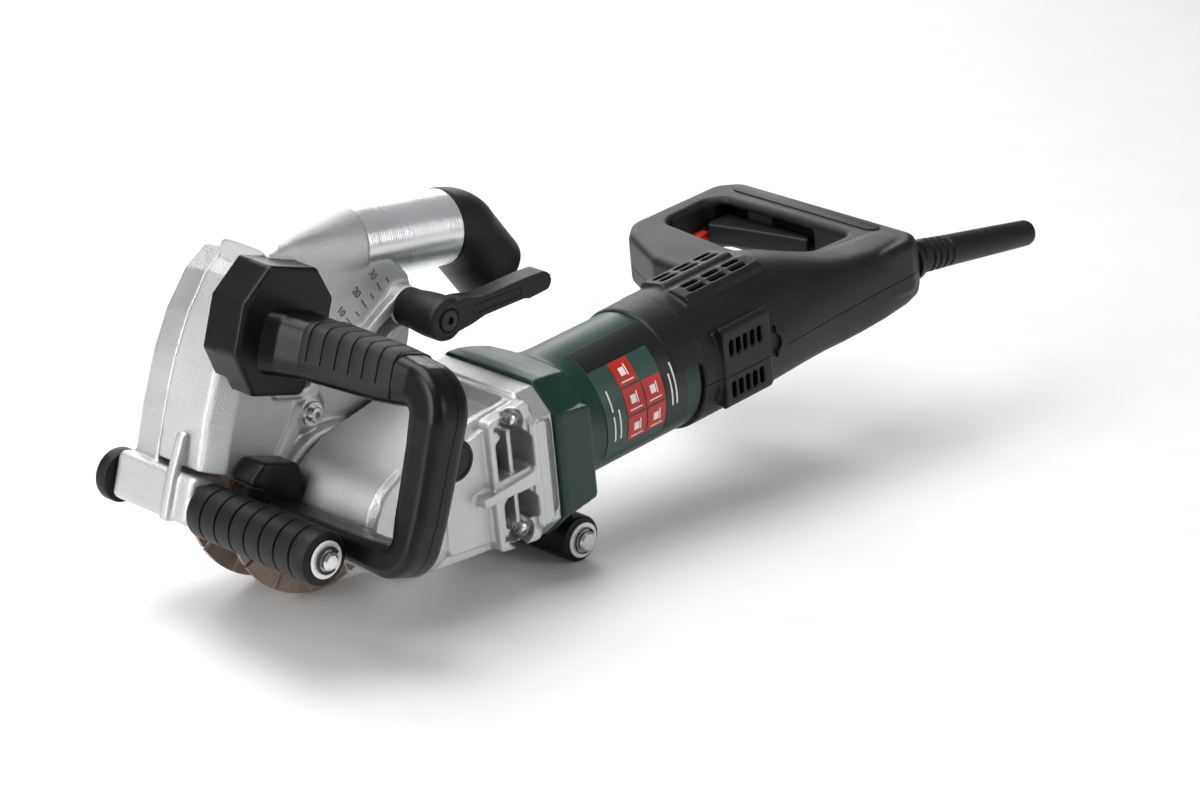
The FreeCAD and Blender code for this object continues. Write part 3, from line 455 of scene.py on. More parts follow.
def axles():
    bar = lathe([(3.6, -106), (5.0, -104.8), (5.0, 75.8), (3.8, 77)], FRONT_AXLE, steps=48)
    piece("front_axle_bar", bar, GUARD, "bright_steel", "depth_frame", "front_axle")
    bar = lathe([(4.6, -82), (6.0, -80.8), (6.0, 60.8), (4.8, 62)], steps=48)
    piece("rear_axle_bar", bar, GUARD, "bright_steel", "depth_frame", "rear_axle")
    spots = [(FRONT_AXLE, 5.0, -101.8), (FRONT_AXLE, 5.0, 72.4), ((0, 0, 0), 6.0, -77.8)]
    rings = [lathe(chamfered_disc(r + 0.02, 10.3, y, y + 1.4, 0.3), place, steps=96, ring=True)
             for place, r, y in spots]
    piece("washers", union(*rings), GUARD, "white_zinc", "depth_frame", "axle_washers")
    clips = []
    for (place, r, y), step in zip(spots, (-1.5, 1.9, -1.5)):
        points = arc((0, 0), 7.7, 38, 322, 40) + arc((0, 0), r, 322, 300, 4)
        points += arc((0, 0), r + 1.1, 292, 68, 24) + arc((0, 0), r, 60, 38, 4)
        clips.append(prism("y", [(place[0] + a, place[2] + b) for a, b in points], y + step, y + step + 1.0))
    clip = bevel(union(*clips), 0.2, 2)
    piece("e_clips", clip, GUARD, "dark_steel", "depth_frame", "axle_clips")


# ---------------------------------------------------------------- dust tube and elbow
TUBE_RADIUS, TUBE_WALL, TUBE_LENGTH = 21.5, 2.2, 118.0
HIDDEN_TUBE = 38.0
ELBOW_BEND = math.radians(45)


def tube_point(back):
    """Point on the dust tube's axis, in the row frame in millimetres, measured forward from its rear end."""
    return TUBE_END / MM - TUBE_AXIS * (back + 0.3)


def dust_tube():
    r, w = TUBE_RADIUS, TUBE_WALL
    length = TUBE_LENGTH - HIDDEN_TUBE
    profile = [(r - w, 0), (r - 0.5, 0), (r, 0.5), (r, 30), (r, 60), (r, length - 0.5), (r - 0.5, length),
               (r - w, length)]
    tube = lathe(profile, tube_point(length), TUBE_AXIS, 160, ring=True)
    piece("dust_pipe", tube, ROW, "turned_alloy", "root", "dust_tube")


def dust_elbow():
    down = Vector((TUBE_AXIS.z, 0, -TUBE_AXIS.x))
    start = TUBE_END / MM
    bend_radius = 22.0
    path = [start, start + TUBE_AXIS * 1.5]
    corner = path[-1] + down * bend_radius
    for k in range(1, 13):
        a = ELBOW_BEND * k / 12
        path.append(corner + (-down * math.cos(a) + TUBE_AXIS * math.sin(a)) * bend_radius)
    knee = path[-1]
    out = down * math.sin(ELBOW_BEND) + TUBE_AXIS * math.cos(ELBOW_BEND)
    path += [knee + out * d for d in (8.0, 24.0, 30.5, 32.2, 33.0)]
    r = TUBE_RADIUS
    radii = [r + 0.2, r + 0.6] + [r + 0.4] * 11 + [r + 0.2, r, r, r, r - 0.3, r - 0.9]
    rings = []
    for i, point in enumerate(path):
        across = heading(path, i).cross(SIDEWAYS).normalized()
        rings.append([point + (across * math.cos(a) + SIDEWAYS * math.sin(a)) * radii[i]
                      for a in once_round(96)])
    inner = [[point + (v - point) * ((r - 2.9) / radii[i]) for v in ring]
             for i, (point, ring) in enumerate(zip(path, rings))]
    elbow = loft(rings + inner[::-1], closed=True)
    piece("dust_bend", elbow, ROW, "black_plastic", "elbow", "dust_elbow", sharp=60)


# ---------------------------------------------------------------- gear head
CASE_SCREWS = [(-83, 34), (-83, -32), (-11, 34), (-11, -32)]


def octagon(half_y, half_z, corner):
    """Rectangle with cut corners about the motor's line, in y and z."""
    a, b = half_y - corner, half_z - corner
    corners = [(a, half_z), (half_y, b), (half_y, -b), (a, -half_z),
               (-a, -half_z), (-half_y, -b), (-half_y, b), (-a, half_z)]
    return [(MOTOR_Y + y, z) for y, z in corners]


def gear_head():
    axle = TOOL.inverted() @ PIVOT
    nose = lathe([(26, -84), (31, -83), (34, -78), (34, -20), (32.5, -14)], steps=96)
    core = prism("y", soften([(-24, 24), (-4, 34), (52, 43), (78, 45), (78, -42), (52, -38), (8, -33),
                              (-24, -24)], 6), -82, -14)
    shoulder = prism("y", soften([(20, 30), (52, 37), (78, 39), (78, -36), (52, -32), (16, -27)], 5),
                     -86, -14)
    flange = prism("x", soften(octagon(48, 45.5, 14), 2), 78, 92)
    near_wall = prism("x", soften([(-94, -30), (-94, 31), (-82, 44), (-12, 44), (0, 31), (0, -30), (-12, -42),
                                   (-82, -42)], 3), 76, 84)
    web = prism("y", soften([(49, 41), (80, 44), (80, -41), (49, -37)], 4), -91, -10)
    fin = prism("y", soften([(38, -4.5), (38, 0.5), (80, 3.5), (80, -5)], 1), -94.5, -84)
    ridge = prism("y", soften([(80, 33), (86, 30), (86, -28), (80, -32)], 2), -96, -84)
    lug = prism("y", [(58, -36), (91, -36), (91, -51), (108, -51.5), (axle.x + 10, axle.z + 8),
                      (axle.x + 10, axle.z - 8), (axle.x - 10, axle.z - 9)], -21, -1)
    eye = rod((axle.x, -21, axle.z), (axle.x, -1, axle.z), 12)
    head = union(nose, core, shoulder, flange, near_wall, web, fin, ridge, lug, eye)
    cuts = [rod((axle.x, -24, axle.z), (axle.x, 2, axle.z), 6.3)]
    for z0, z1, x0 in ((5, 30, 53), (-25, -6.5, 55)):
        window = soften([(x0, z0), (x0, z1 - 3), (x0 + 4, z1), (73, z1), (77, z1 - 6), (77, z0)], 2.2)
        cuts.append(prism("y", window, -100, -70))
    cuts.append(prism("y", soften([(87.5, 34), (91.2, 26), (91.2, -22), (87.5, -30), (88.8, 0)], 1.2),
                      -100, -91))
    cuts.append(prism("z", soften([(40, -76), (40, -22), (74, -18), (74, -80)], 7), 33, 60))
    for y, z in CASE_SCREWS:
        cuts.append(rod((56, y, z), (72, y, z), 6.2))
        cuts.append(rod((52, y - 5 * (1 if y < MOTOR_Y else -1), z + 2), (66, y, z), 3, 6.2))
    for y, z in CASE_SCREWS[:2]:
        cuts.append(rod((70, y + 1, z), (58, y - 22, z + 2), 7.2, 10.5))
        cuts.append(rod((72, y, z), (60, y, z), 6.4, 7.4))
    less(head, *cuts)
    ribs = [box((63.5, 66.5), (-88.5, -70), (4, 31)), box((64.5, 67.5), (-88.5, -70), (-26, -6))]
    union(head, *ribs)
    melt(head, 0.8, 1)
    piece("gear_case", head, TOOL, "cast_alloy", "root", "gear_housing", sharp=None)

    cover = lathe([(14, -14), (31, -14), (31, -11), (29, -10), (26, -8.6), (24, -8), (14, -8)], steps=96,
                  ring=True)
    piece("bearing_lid", cover, TOOL, "cast_alloy", "root", "bearing_cover")
    cap = lathe([(4, -88), (11.5, -88), (15, -86.6), (16, -85), (16, -80), (4, -80)], steps=96, ring=True)
    plug = lathe([(3, -87.2), (6, -87), (7, -86), (7, -80)], steps=64)
    piece("end_cap", union(cap, plug), TOOL, "cast_alloy", "root", "spindle_end_cap")
    screws = []
    for y, z in CASE_SCREWS:
        screw = lathe([(2.5, 30), (2.5, 0), (4.4, 0), (4.4, -2.4), (3.9, -3.4), (2.4, -4)], (72, y, z),
                      REARWARD, 48)
        screws.append(less(screw, torx((68, y, z), -REARWARD, 2.3, 2.0)))
    piece("flange_screws", union(*screws), TOOL, "bright_steel", "root", "case_screws", "dark_steel")
    button = lathe([(3.9, -80), (3.9, -88.5), (12, -88.5), (12, -93), (11.2, -94.4), (9.5, -95),
                    (8.6, -94.2)], (22, 0, 31), steps=64)
    piece("lock_knob", button, TOOL, "black_plastic", "spindle_lock", "spindle_lock_button")


# ---------------------------------------------------------------- motor housing and label
def motor_housing():
    """Flange with cut corners that flows into a round barrel."""
    hy, hz, corner, r_end = 51.0, 47.0, 17.0, 39.0
    stations = [(92.0, 0.0, 0.985), (92.8, 0.0, 1.0), (100.0, 0.03, 0.998), (108.0, 0.10, 0.985),
                (116, 0.20, 0.965), (120, 0.26, 0.955), (121.5, 0.36, 0.95), (124, 0.58, 0.955),
                (128, 0.80, 0.97), (134, 0.94, 0.99), (142, 1.0, 1.0), (160, 1.0, 1.0), (180, 1.0, 1.0),
                (205, 1.0, 1.0), (216, 1.0, 1.0), (217, 1.0, 0.985)]
    rings = []
    for x, roundness, scale in stations:
        ring = []
        for a in once_round(160):
            c, s = abs(math.cos(a)) + 1e-6, abs(math.sin(a)) + 1e-6
            flat = min(hy / c, hz / s, (hy + hz - corner) / (c + s))
            r = (flat * (1 - roundness) + r_end * roundness) * scale
            ring.append((x, MOTOR_Y + r * math.cos(a), r * math.sin(a)))
        rings.append(ring)
    body = loft(rings)
    plate = prism("y", soften([(95, 31), (95, -31), (117, -28), (117, 28)], 2.5), -98.6, -90)
    union(body, plate)
    less(body, rod((200, MOTOR_Y, 0), (220, MOTOR_Y, 0), 30))
    body = melt(body, 0.9, 2)
    piece("motor_shell", body, TOOL, "green_plastic", "root", "motor_housing", sharp=None)


def patch(ends, angles, radius, thickness=0.25):
    """Thin curved plate on the barrel between two x values and two angles up from the near side."""
    steps = 20
    low, high = angles
    turns = [math.radians(180 - low - (high - low) * k / steps) for k in range(steps + 1)]
    verts, faces = [], []
    for r in (radius, radius + thickness):
        for x in ends:
            verts += [(x, MOTOR_Y + r * math.cos(a), r * math.sin(a)) for a in turns]
    n = steps + 1
    for k in range(steps):
        faces += [(k, k + 1, n + k + 1, n + k), (2 * n + k, 3 * n + k, 3 * n + k + 1, 2 * n + k + 1),
                  (k, 2 * n + k, 2 * n + k + 1, k + 1), (n + k, n + k + 1, 3 * n + k + 1, 3 * n + k)]
    faces += [(0, n, 3 * n, 2 * n), (n - 1, 3 * n - 1, 4 * n - 1, 2 * n - 1)]
    return mesh_object("patch", verts, faces)


LABEL_LOW, LABEL_HIGH = -30.0, 74.0
FILM, BAND, TILE, MARK = 39.15, 39.5, 39.55, 39.8


def label():
    """Printed film on the barrel: black bands, two columns of red tiles and plain white marks."""
    base = patch((140, 205), (LABEL_LOW, LABEL_HIGH), FILM, 0.35)
    piece("label_film", base, TOOL, "label", "root", "rating_label")
    band = union(patch((141, 204.5), (50, LABEL_HIGH - 1), BAND),
                 patch((187, 204.5), (LABEL_LOW + 1, 51), BAND, 0.24))
    piece("label_band", band, TOOL, "label_black", "root", slot="label")
    tiles, marks = [], []
    for x, rows in ((156, ((27, 49), (3, 25), (-21, 1))), (171.5, ((3, 25), (-21, 1)))):
        for low, high in rows:
            tiles.append(patch((x, x + 14.3), (low, high), TILE))
            middle = (low + high) / 2
            marks += [patch((x + 4.5, x + 8.5), (middle - 3, middle + 4), MARK, 0.1),
                      patch((x + 9.2, x + 10.0), (middle - 4, middle + 6), MARK, 0.1),
                      patch((x + 2.5, x + 12), (low + 2.6, low + 3.6), MARK, 0.1)]
    for x, low, high in ((145, -14, 8), (145, 12, 30), (149.5, -14, 12), (191, -8, 20), (194.5, -8, 28)):
        marks.append(patch((x, x + 1.1), (low, high), MARK, 0.1))
    piece("label_tiles", union(*tiles), TOOL, "label_red", "root", slot="label")
    piece("label_marks", union(*marks), TOOL, "label_white", "root", slot="label")


# ---------------------------------------------------------------- rear casing
def blob(x, y0, y1, z0, z1, power):
    """Ring across x: a superellipse between the given limits."""
    cy, cz, half_y, half_z = (y0 + y1) / 2, (z0 + z1) / 2, (y1 - y0) / 2, (z1 - z0) / 2
    return [(x, cy + half_y * u, cz + half_z * v) for u, v in superellipse(power)]


LOOP_OUTER = [(292, -30), (297, 30), (316, 69), (330, 80), (403, 78), (415, 66), (415, -76), (404, -84),
              (380, -84), (340, -60)]
LOOP_WINDOW = [(336, 4), (342, 60), (349, 64), (380, 64), (389, 57), (391, 10), (391, -44), (350, -40),
               (338, -20)]


def eased_slab(outline, half, edge, way, beyond=0.0):
    """Slab across z with a quarter round at both faces.

    Way -1 rounds its edges over.  Way 1 flares them, for the cutter of a window with rounded edges, and
    beyond takes that cutter past both faces.
    """
    centre = Vector((sum(p[0] for p in outline) / len(outline), sum(p[1] for p in outline) / len(outline)))
    normals = []
    for i, point in enumerate(outline):
        run = Vector(outline[(i + 1) % len(outline)]) - Vector(outline[i - 1])
        normal = Vector((run.y, -run.x)).normalized()
        normals.append(-normal if normal.dot(Vector(point) - centre) < 0 else normal)
    rings = []
    quarter = range(0, 91, 15)
    for side, degrees in [(-1, d) for d in reversed(quarter)] + [(1, d) for d in quarter]:
        a = math.radians(degrees)
        shift = way * edge * (1 - math.cos(a))
        z = side * (half - edge + edge * math.sin(a) + (beyond if degrees == 90 else 0.0))
        rings.append([(p[0] + n.x * shift, p[1] + n.y * shift, z) for p, n in zip(outline, normals)])
    return loft(rings)


CABLE_Y, CABLE_Z = -66.0, -4.0
PARTING_Z = -4.0


def rear_casing():
    stations = [(217.5, -87.6, -6.4, -40.6, 40.6, 2), (219, -88.2, -5.8, -41.2, 41.2, 2),
                (260, -88.2, -5.8, -41.2, 41.2, 2), (286, -88.0, -6, -41, 41, 2),
                (300, -87.5, -9, -39, 39, 2.1), (315, -86.5, -16, -36, 34.5, 2.3),
                (330, -85.5, -26, -33, 29, 2.6), (345, -85, -36, -31, 24, 3),
                (360, -84.5, -42, -29.5, 20.5, 3.4), (380, -84, -45, -28, 18.5, 3.8),
                (400, -82.5, -46, -26.5, 17.5, 4), (410, -80.5, -47, -25, 16.5, 4),
                (414, -78, -49, -22.5, 14.5, 4)]
    casing = loft([blob(*s) for s in stations])
    lip = lathe([(30, -21), (39.2, -21), (40.6, -19), (40.9, 0), (41, 4), (30, 4)], (217, MOTOR_Y, 0),
                REARWARD, 128, ring=True)
    keep = prism("x", [(MOTOR_Y - 50, 24), (MOTOR_Y - 34, 6), (MOTOR_Y + 34, 6), (MOTOR_Y + 50, 24),
                       (MOTOR_Y + 50, 60), (MOTOR_Y - 50, 60)], 190, 222)
    lip = shared(lip, keep)
    loop = eased_slab(soften(LOOP_OUTER, 14, 8), 17, 5, -1)
    union(casing, lip, loop)
    sill = prism("x", soften([(-88.6, -24), (-90.5, -20), (-90.5, 24), (-87, 27), (-80, 20), (-80, -22)], 2),
                 231, 270)
    brow = prism("x", soften([(-67.5, 34), (-67.5, 39.2), (-64, 41.4), (-54, 43.2), (-51, 42.4),
                              (-50, 34)], 1), 229, 291)
    crest = prism("x", soften([(-46, 34), (-46, 42.0), (-43, 43.0), (-29, 40.6), (-26, 38.6), (-26, 30)], 1),
                  232, 288)
    union(casing, sill, brow, crest)
    cuts = [eased_slab(soften(LOOP_WINDOW, 6), 17, 4, 1, beyond=1.0)]
    for k in range(3):
        x = 236.5 + 17 * k
        for y, z in ((-63, 34), (-57, 34), (-40.5, 32), (-34.5, 32)):
            cuts.append(box((x, x + 13), (y, y + 3.6), (z, 50)))
    for k in range(5):
        x = 236 + 5.8 * k
        for z in (-18, 8):
            cuts.append(box((x, x + 3.6), (-100, -84), (z, z + 10)))
    cuts.append(rod((403, CABLE_Y, CABLE_Z), (425, CABLE_Y, CABLE_Z), 12.2))
    cuts.append(prism("z", [(383.5, -14), (398, -14), (404, 61.5), (383.5, 61.5)], -9.4, 12))
    cuts.append(box((365.6, 376.4), (58, 69), (-9.4, -0.6)))
    less(casing, *cuts)
    casing = melt(casing, 0.9, 1)
    twin = copy_of(casing)
    upper = less(casing, box((180, 440), (-120, 120), (-80, PARTING_Z + 0.25)))
    lower = less(twin, box((180, 440), (-120, 120), (PARTING_Z - 0.25, 80)))
    piece("rear_shell_upper", upper, TOOL, "black_plastic", "root", "rear_cover_upper", sharp=50)
    piece("rear_shell_lower", lower, TOOL, "black_plastic", "root", "rear_cover_lower", sharp=50)

    inlay = bevel(prism("z", soften([(400.5, -50), (400.5, 60), (406, 66), (410.5, 60), (410.5, -50),
                                     (406, -56)], 4), 15.5, 17.6), 0.5, 2)
    piece("grip_pad_rear", inlay, TOOL, "soft_grip", "root", "grip_inlay")
    blade = prism("z", soften([(388, -11), (386, 0), (380, 28), (374, 50), (372, 57), (376, 58.5),
                               (393, 58.5), (394, -6), (391, -11)], 3.5), -7.5, 5.5)
    blade = bevel(blade, 2.2, 4)
    piece("trigger_blade", blade, TOOL, "black_plastic", "trigger_body", "trigger")
    button = bevel(box((366, 376), (59.3, 70), (-9, -1)), 1.4, 3)
    piece("lock_off_slider", button, TOOL, "red_plastic", "lock_off", "lock_off_button")
    arcs = arc((277, 1.5), 10.5, 70, -70, 16) + arc((277, 1.5), 6.5, -62, 62, 16)
    latch = prism("y", [(a - 4, b) for a, b in arcs], -92, -80)
    shell = less(rod((262, MOTOR_Y, 0), (292, MOTOR_Y, 0), 42.8, steps=128),
                 rod((260, MOTOR_Y, 0), (294, MOTOR_Y, 0), 40.0, steps=128))
    piece("latch_ring", bevel(shared(latch, shell), 0.4, 2), TOOL, "black_plastic", "root", "brush_cover")


def cable_entry():
    collar = lathe([(6, 404), (12, 404), (12, 415.2), (13.6, 415.2), (14, 415.8), (14, 418.6), (13.2, 419.6),
                    (11.4, 420.4), (10.8, 422), (6, 422)], (0, CABLE_Y, CABLE_Z), REARWARD, ring=True)
    piece("cable_ring", collar, TOOL, "black_plastic", "root", "cable_collar")
    start, end = Vector((417, CABLE_Y, CABLE_Z)), Vector((518, -73, -22))
    line = (end - start).normalized()
    base = start + line * 7.6
    length = (end - start).length - 6
    profile = [(6, -1), (10.2, -1.2)]
    for k in range(4):
        h = 1.5 + 5.5 * k
        r = 10.5 - 0.22 * k
        profile += [(r, h), (r, h + 3.0), (r - 1.3, h + 3.6), (r - 1.3, h + 4.9)]
    profile += [(9.6, 24), (9.2, 45), (8.6, 72), (8.0, length - 2), (7.2, length), (4.9, length),
                (4.8, length - 30), (4.8, 30), (4.8, -1)]
    boot = lathe(profile, base, line, 72, ring=True)
    stem = rod((406, CABLE_Y, CABLE_Z), (426, CABLE_Y, CABLE_Z), 5.9)
    piece("cable_sleeve", union(boot, stem), TOOL, "soft_grip", "root", "cable_boot")


# ---------------------------------------------------------------- guard castings
SLOT_RADIUS, SLOT_LOW, SLOT_HIGH = 160.6, 36.7, 47.3
DISC_OPENING = (-137, 0, 14)
SCREW_X, SCREW_Z = -163, 57


def guard_near():
    """Near casting: plate with a chamfered front corner, front wall, slot collar and dust duct."""
    full = [(-224, 21), (-225.5, 48), (-224.5, 75), (-220.5, 101), (-212.5, 124), (-202, 138), (-190, 144),
            (-118, 144), (-104, 136), (-97, 122), (-92, 60), (-92, -5), (-176, -5), (-188, 18)]
    flat = [(-213, 21), (-214, 48), (-213, 74), (-209.5, 98), (-202.5, 119), (-194, 131), (-184, 137),
            (-120, 142), (-106, 134), (-99, 121), (-93.5, 60), (-93.5, -3.5), (-176, -3.5), (-186, 18)]
    low = [(-222, 21), (-223.5, 48), (-222.5, 75), (-218.5, 100), (-210.5, 122), (-200, 136), (-189, 142.5),
           (-118, 144), (-104, 136), (-97, 122), (-92, 60), (-92, -5), (-176, -5), (-188, 18)]
    layers = ((flat, -10), (low, -2), (full, 1), (full, 33.5))
    body = loft([[(x, y, z) for x, z in ring] for ring, y in layers])
    hollow = prism("y", [(-220, -30), (-221.5, 48), (-220.5, 74), (-216.5, 99), (-208.5, 121), (-198, 134),
                         (-189, 139.5), (-118, 139.5), (-118, 180), (-60, 180), (-60, -30)], -0.5, 60)
    pocket = prism("y", [(-208, -30), (-208, 74), (-200, 115), (-188, 131), (-60, 131), (-60, -30)], -6, 5)
    recess = prism("y", soften([(-152, 84), (-176, 30), (-176, -20), (-97, -20), (-98, 66), (-112, 84)], 5),
                   -12, -8.4)
    less(body, hollow, pocket, recess)
    cx, cz = polar(SLOT_RADIUS, SLOT_HIGH)
    lx, lz = polar(SLOT_RADIUS, SLOT_LOW)
    collar = union(rod((cx, -17.5, cz), (cx, -7, cz), 10.5, 12.5),
                   rod((lx, -17.5, lz), (lx, -7, lz), 10.5, 12.5),
                   slot_block(10.5, -17.5, -7))
    seat = lathe([(36, -14), (37.5, -12.5), (39, -6.5)], DISC_OPENING)
    boss = lathe([(8, -14), (9.5, -12), (12, -9.5), (13, -6.5)], (SCREW_X, 0, SCREW_Z), steps=64)
    rib = prism("y", soften([(-160, 92), (-150, 90), (-176, 26), (-184, 20)], 1.5), -12.6, -7)
    brow = prism("y", soften([(-192, 66), (-188, 70), (-170, 70), (-158, 78), (-156, 73), (-168, 65),
                              (-188, 64)], 1.2), -12.2, -7)
    inverse = GUARD.inverted()
    inner_end = inverse @ (tube_point(TUBE_LENGTH) * MM)
    line = ((inverse @ (tube_point(0) * MM)) - inner_end).normalized()
    lift = Vector((-line.z, 0, line.x))
    stations = [(-23, 20.4, 10, 5), (-16, 21.3, 13.2, 4.6), (-6, 21.6, 15.6, 4), (6, 21.8, 17.6, 3.2),
                (20, 22.2, 20, 2.5), (34, 22.8, 22.2, 2.1), (46, 23, 23, 2), (47.5, 22.2, 22.2, 2)]
    rings = []
    for along, half_y, half_z, power in stations:
        middle = inner_end + line * along
        rings.append([middle + SIDEWAYS * (half_y * u) + lift * (half_z * v) for u, v in superellipse(power)])
    duct = loft(rings)
    union(body, collar, seat, boss, rib, brow, duct)
    cuts = [lathe([(31.4, -20), (31.4, 0)], DISC_OPENING), slot_block(4.4, -24, 0),
            rod((cx, -24, cz), (cx, 0, cz), 4.4), rod((lx, -24, lz), (lx, 0, lz), 4.4),
            lathe([(TUBE_RADIUS + 0.06, HIDDEN_TUBE), (TUBE_RADIUS + 0.06, 60)], inner_end, line, 96),
            lathe([(15, 2), (15, HIDDEN_TUBE + 2)], inner_end, line, 64),
            rod((SCREW_X, -20, SCREW_Z), (SCREW_X, 0, SCREW_Z), 3.1),
            box((-190, -141), (-5.5, 33.0), (60, 122))]
    less(body, *cuts)
    melt(body, 0.9, 4)
    piece("guard_near_half", body, GUARD, "cast_alloy", "root", "guard_housing", sharp=None)


def slot_block(half, y0, y1):
    span = 8
    angles = [SLOT_LOW + (SLOT_HIGH - SLOT_LOW) * k / span for k in range(span + 1)]
    points = [polar(SLOT_RADIUS + half, a) for a in angles]
    points += [polar(SLOT_RADIUS - half, a) for a in reversed(angles)]
    return prism("y", points, y0, y1)


def number(value, height):
    """Thin raised number, centred on the origin, in the x-y plane."""
    curve = bpy.data.curves.new("number", "FONT")
    curve.body = str(value)
    curve.size = height
    curve.extrude = 0.2
    curve.align_x = "CENTER"
    curve.align_y = "CENTER"
    text = bpy.data.objects.new("number", curve)
    bpy.context.scene.collection.objects.link(text)
    bpy.context.view_layer.update()
    mesh = bpy.data.meshes.new_from_object(text.evaluated_get(bpy.context.evaluated_depsgraph_get()))
    bpy.data.objects.remove(text)
    obj = bpy.data.objects.new("number", mesh)
    bpy.context.scene.collection.objects.link(obj)
    return obj


def depth_scale():
    """Marks and plain numbers beside the slot, in millimetres of cut."""
    foot = SLOT_RADIUS + 15.5
    marks = []
    for k, depth in enumerate((10, 15, 20, 25, 30, 35)):
        angle = SLOT_LOW + (SLOT_HIGH - SLOT_LOW) * k / 5
        a, b = Vector(polar(foot, angle)), Vector(polar(foot + (3.6 if depth % 10 else 6.0), angle))
        n = Vector((a.y - b.y, b.x - a.x)).normalized() * 0.3
        marks.append(prism("y", [tuple(a + n), tuple(b + n), tuple(b - n), tuple(a - n)], -10.35, -9.9))
        if depth % 10:
            continue
        digits = number(depth, 6.0)
        x, z = polar(foot + 12, angle)
        turn = Matrix.Rotation(math.radians(angle), 4, "Y") @ Matrix.Rotation(math.radians(90), 4, "X")
        digits.data.transform(Matrix.Translation((x, -10.15, z)) @ turn)
        piece("scale_number_%d" % depth, digits, GUARD, "mark_grey", "root", slot="cast_alloy")
    piece("scale_marks", union(*marks), GUARD, "mark_grey", "root", slot="cast_alloy")


def guard_far():
    """Far casting: side wall with a rounded front, front beam with its rib, bolt post and rear eye."""
    joint_ring = [(-223, -9), (-224.5, 45), (-223.5, 75), (-219.5, 100), (-211.5, 123), (-201, 137),
                  (-190, 142), (-122, 142), (-104, 124), (-84, 60), (-50, 20), (0, 10), (9, 5), (9, -5),
                  (0, -9)]
    mid_ring = [(-221.5, -9), (-223, 45), (-222, 75), (-218, 99), (-210, 121), (-199, 134.5), (-189, 139.5),
                (-122, 140), (-104, 123), (-84, 60), (-50, 20), (0, 10), (9, 5), (9, -5), (0, -9)]
    far_ring = [(-216, -8), (-218, 45), (-216.5, 75), (-212.5, 97), (-205, 116), (-194.5, 128.5), (-186, 133),
                (-124, 134), (-106, 120), (-86, 58), (-51, 19), (0, 9.5), (8, 4.5), (8, -4.5), (0, -8.5)]
    rings = ((joint_ring, 34.1), (mid_ring, 53), (far_ring, 60))
    wall = loft([[(x, y, z) for x, z in ring] for ring, y in rings])
    less(wall, prism("y", [(-219.5, -30), (-219.5, 45), (-218.5, 74), (-214.5, 97), (-206.5, 118),
                           (-196, 130), (-188, 135), (60, 135), (60, -30)], 30, 56))
    beam = bevel(box((-229, -205), (-3.5, 61.5), (-9, 18)), 4, 4)
    fin = bevel(prism("y", [(-232, -9), (-232, 14), (-229.5, 38), (-226.2, 41), (-226.2, 17), (-212, 17),
                            (-212, -9)], 10, 17), 1.0, 2)
    px, pz = BOLT.x, BOLT.z
    post = rod((px, -4.5, pz), (px, 58, pz), 8.5)
    eye = rod((0, 42, 0), (0, 60, 0), 11)
    rib = prism("y", soften([(-120, -9), (-100, 2), (-60, 8), (0, 8), (0, -8), (-60, -9)], 4), 46, 58)
    lines = [prism("y", soften([(-206 + d, 20), (-206 + d, 26), (-100, 26 + d), (-100, 20 + d)], 2), 58, 61.2)
             for d in (0, 40, 70)]
    union(wall, beam, fin, post, eye, rib, *lines)
    less(wall, rod((AX, -10, AZ), (AX, 70, AZ), 5.0), rod((px, -10, pz), (px, 70, pz), 4.0),
         rod((0, 30, 0), (0, 70, 0), 6.0))
    melt(wall, 0.9, 5)
    piece("guard_far_half", wall, GUARD, "cast_alloy", "depth_frame", "guard_cover", sharp=None)


def guard_screw():
    head = lathe([(3, -6), (3, -14), (7, -14), (7, -15.3), (6.6, -15.7), (4.6, -15.7), (4.6, -17.6),
                  (4, -18.4), (2.6, -18.7)], (SCREW_X, 0, SCREW_Z), steps=64)
    less(head, torx((SCREW_X, -18.7, SCREW_Z), -SIDEWAYS, 2.5, 2.2))
    piece("star_screw", head, GUARD, "bright_steel", "root", "guard_screw", "dark_steel")


# ---------------------------------------------------------------- side handle
HANDLE_SPLIT_X = -185.0


def handle_path():
    """Stations of the handle from base to foot: centre (x, y, z) and half sizes across and along x."""
    top, low, outer = 99.0, 5.5, -132.0
    spots = [((-203, -26, top), 18, 21), ((-198, -34, top), 17, 19), ((-194, -48, top), 16, 17.5),
             ((-191, -70, top), 15.4, 16), ((-189, -95, top), 14.8, 14.8), ((-187.5, -108, top), 13.6, 13.6)]
    for y, z in arc((outer + 15, top - 15), 15, 90, 180, 10):
        spots.append(((-187, y, z), 12.2, 13))
    spots += [((-186.5, outer, 70), 11.2, 12.6), ((-186, outer, 50), 11, 12.3), ((-186, outer, 30), 10.6, 12)]
    for y, z in arc((outer + 13, low + 13), 13, 180, 270, 10):
        spots.append(((-186, y, z), 9.0, 12))
    spots += [((-186, -100, low), 7.6, 12), ((-186, -70, low), 7.4, 12), ((-186, -40, low), 7.4, 12),
              ((-186, -24, low), 7.8, 12)]
    return spots


def handle_ring(centre, side, across, deep, grow=0.0):
    """Rounded section of the handle: its half sizes are across, along side, and deep, along x."""
    shape = rounded_rect(across + grow, deep + grow, min(across, deep) * 0.62)
    return [Vector(centre) + side * u + REARWARD * v for u, v in shape]


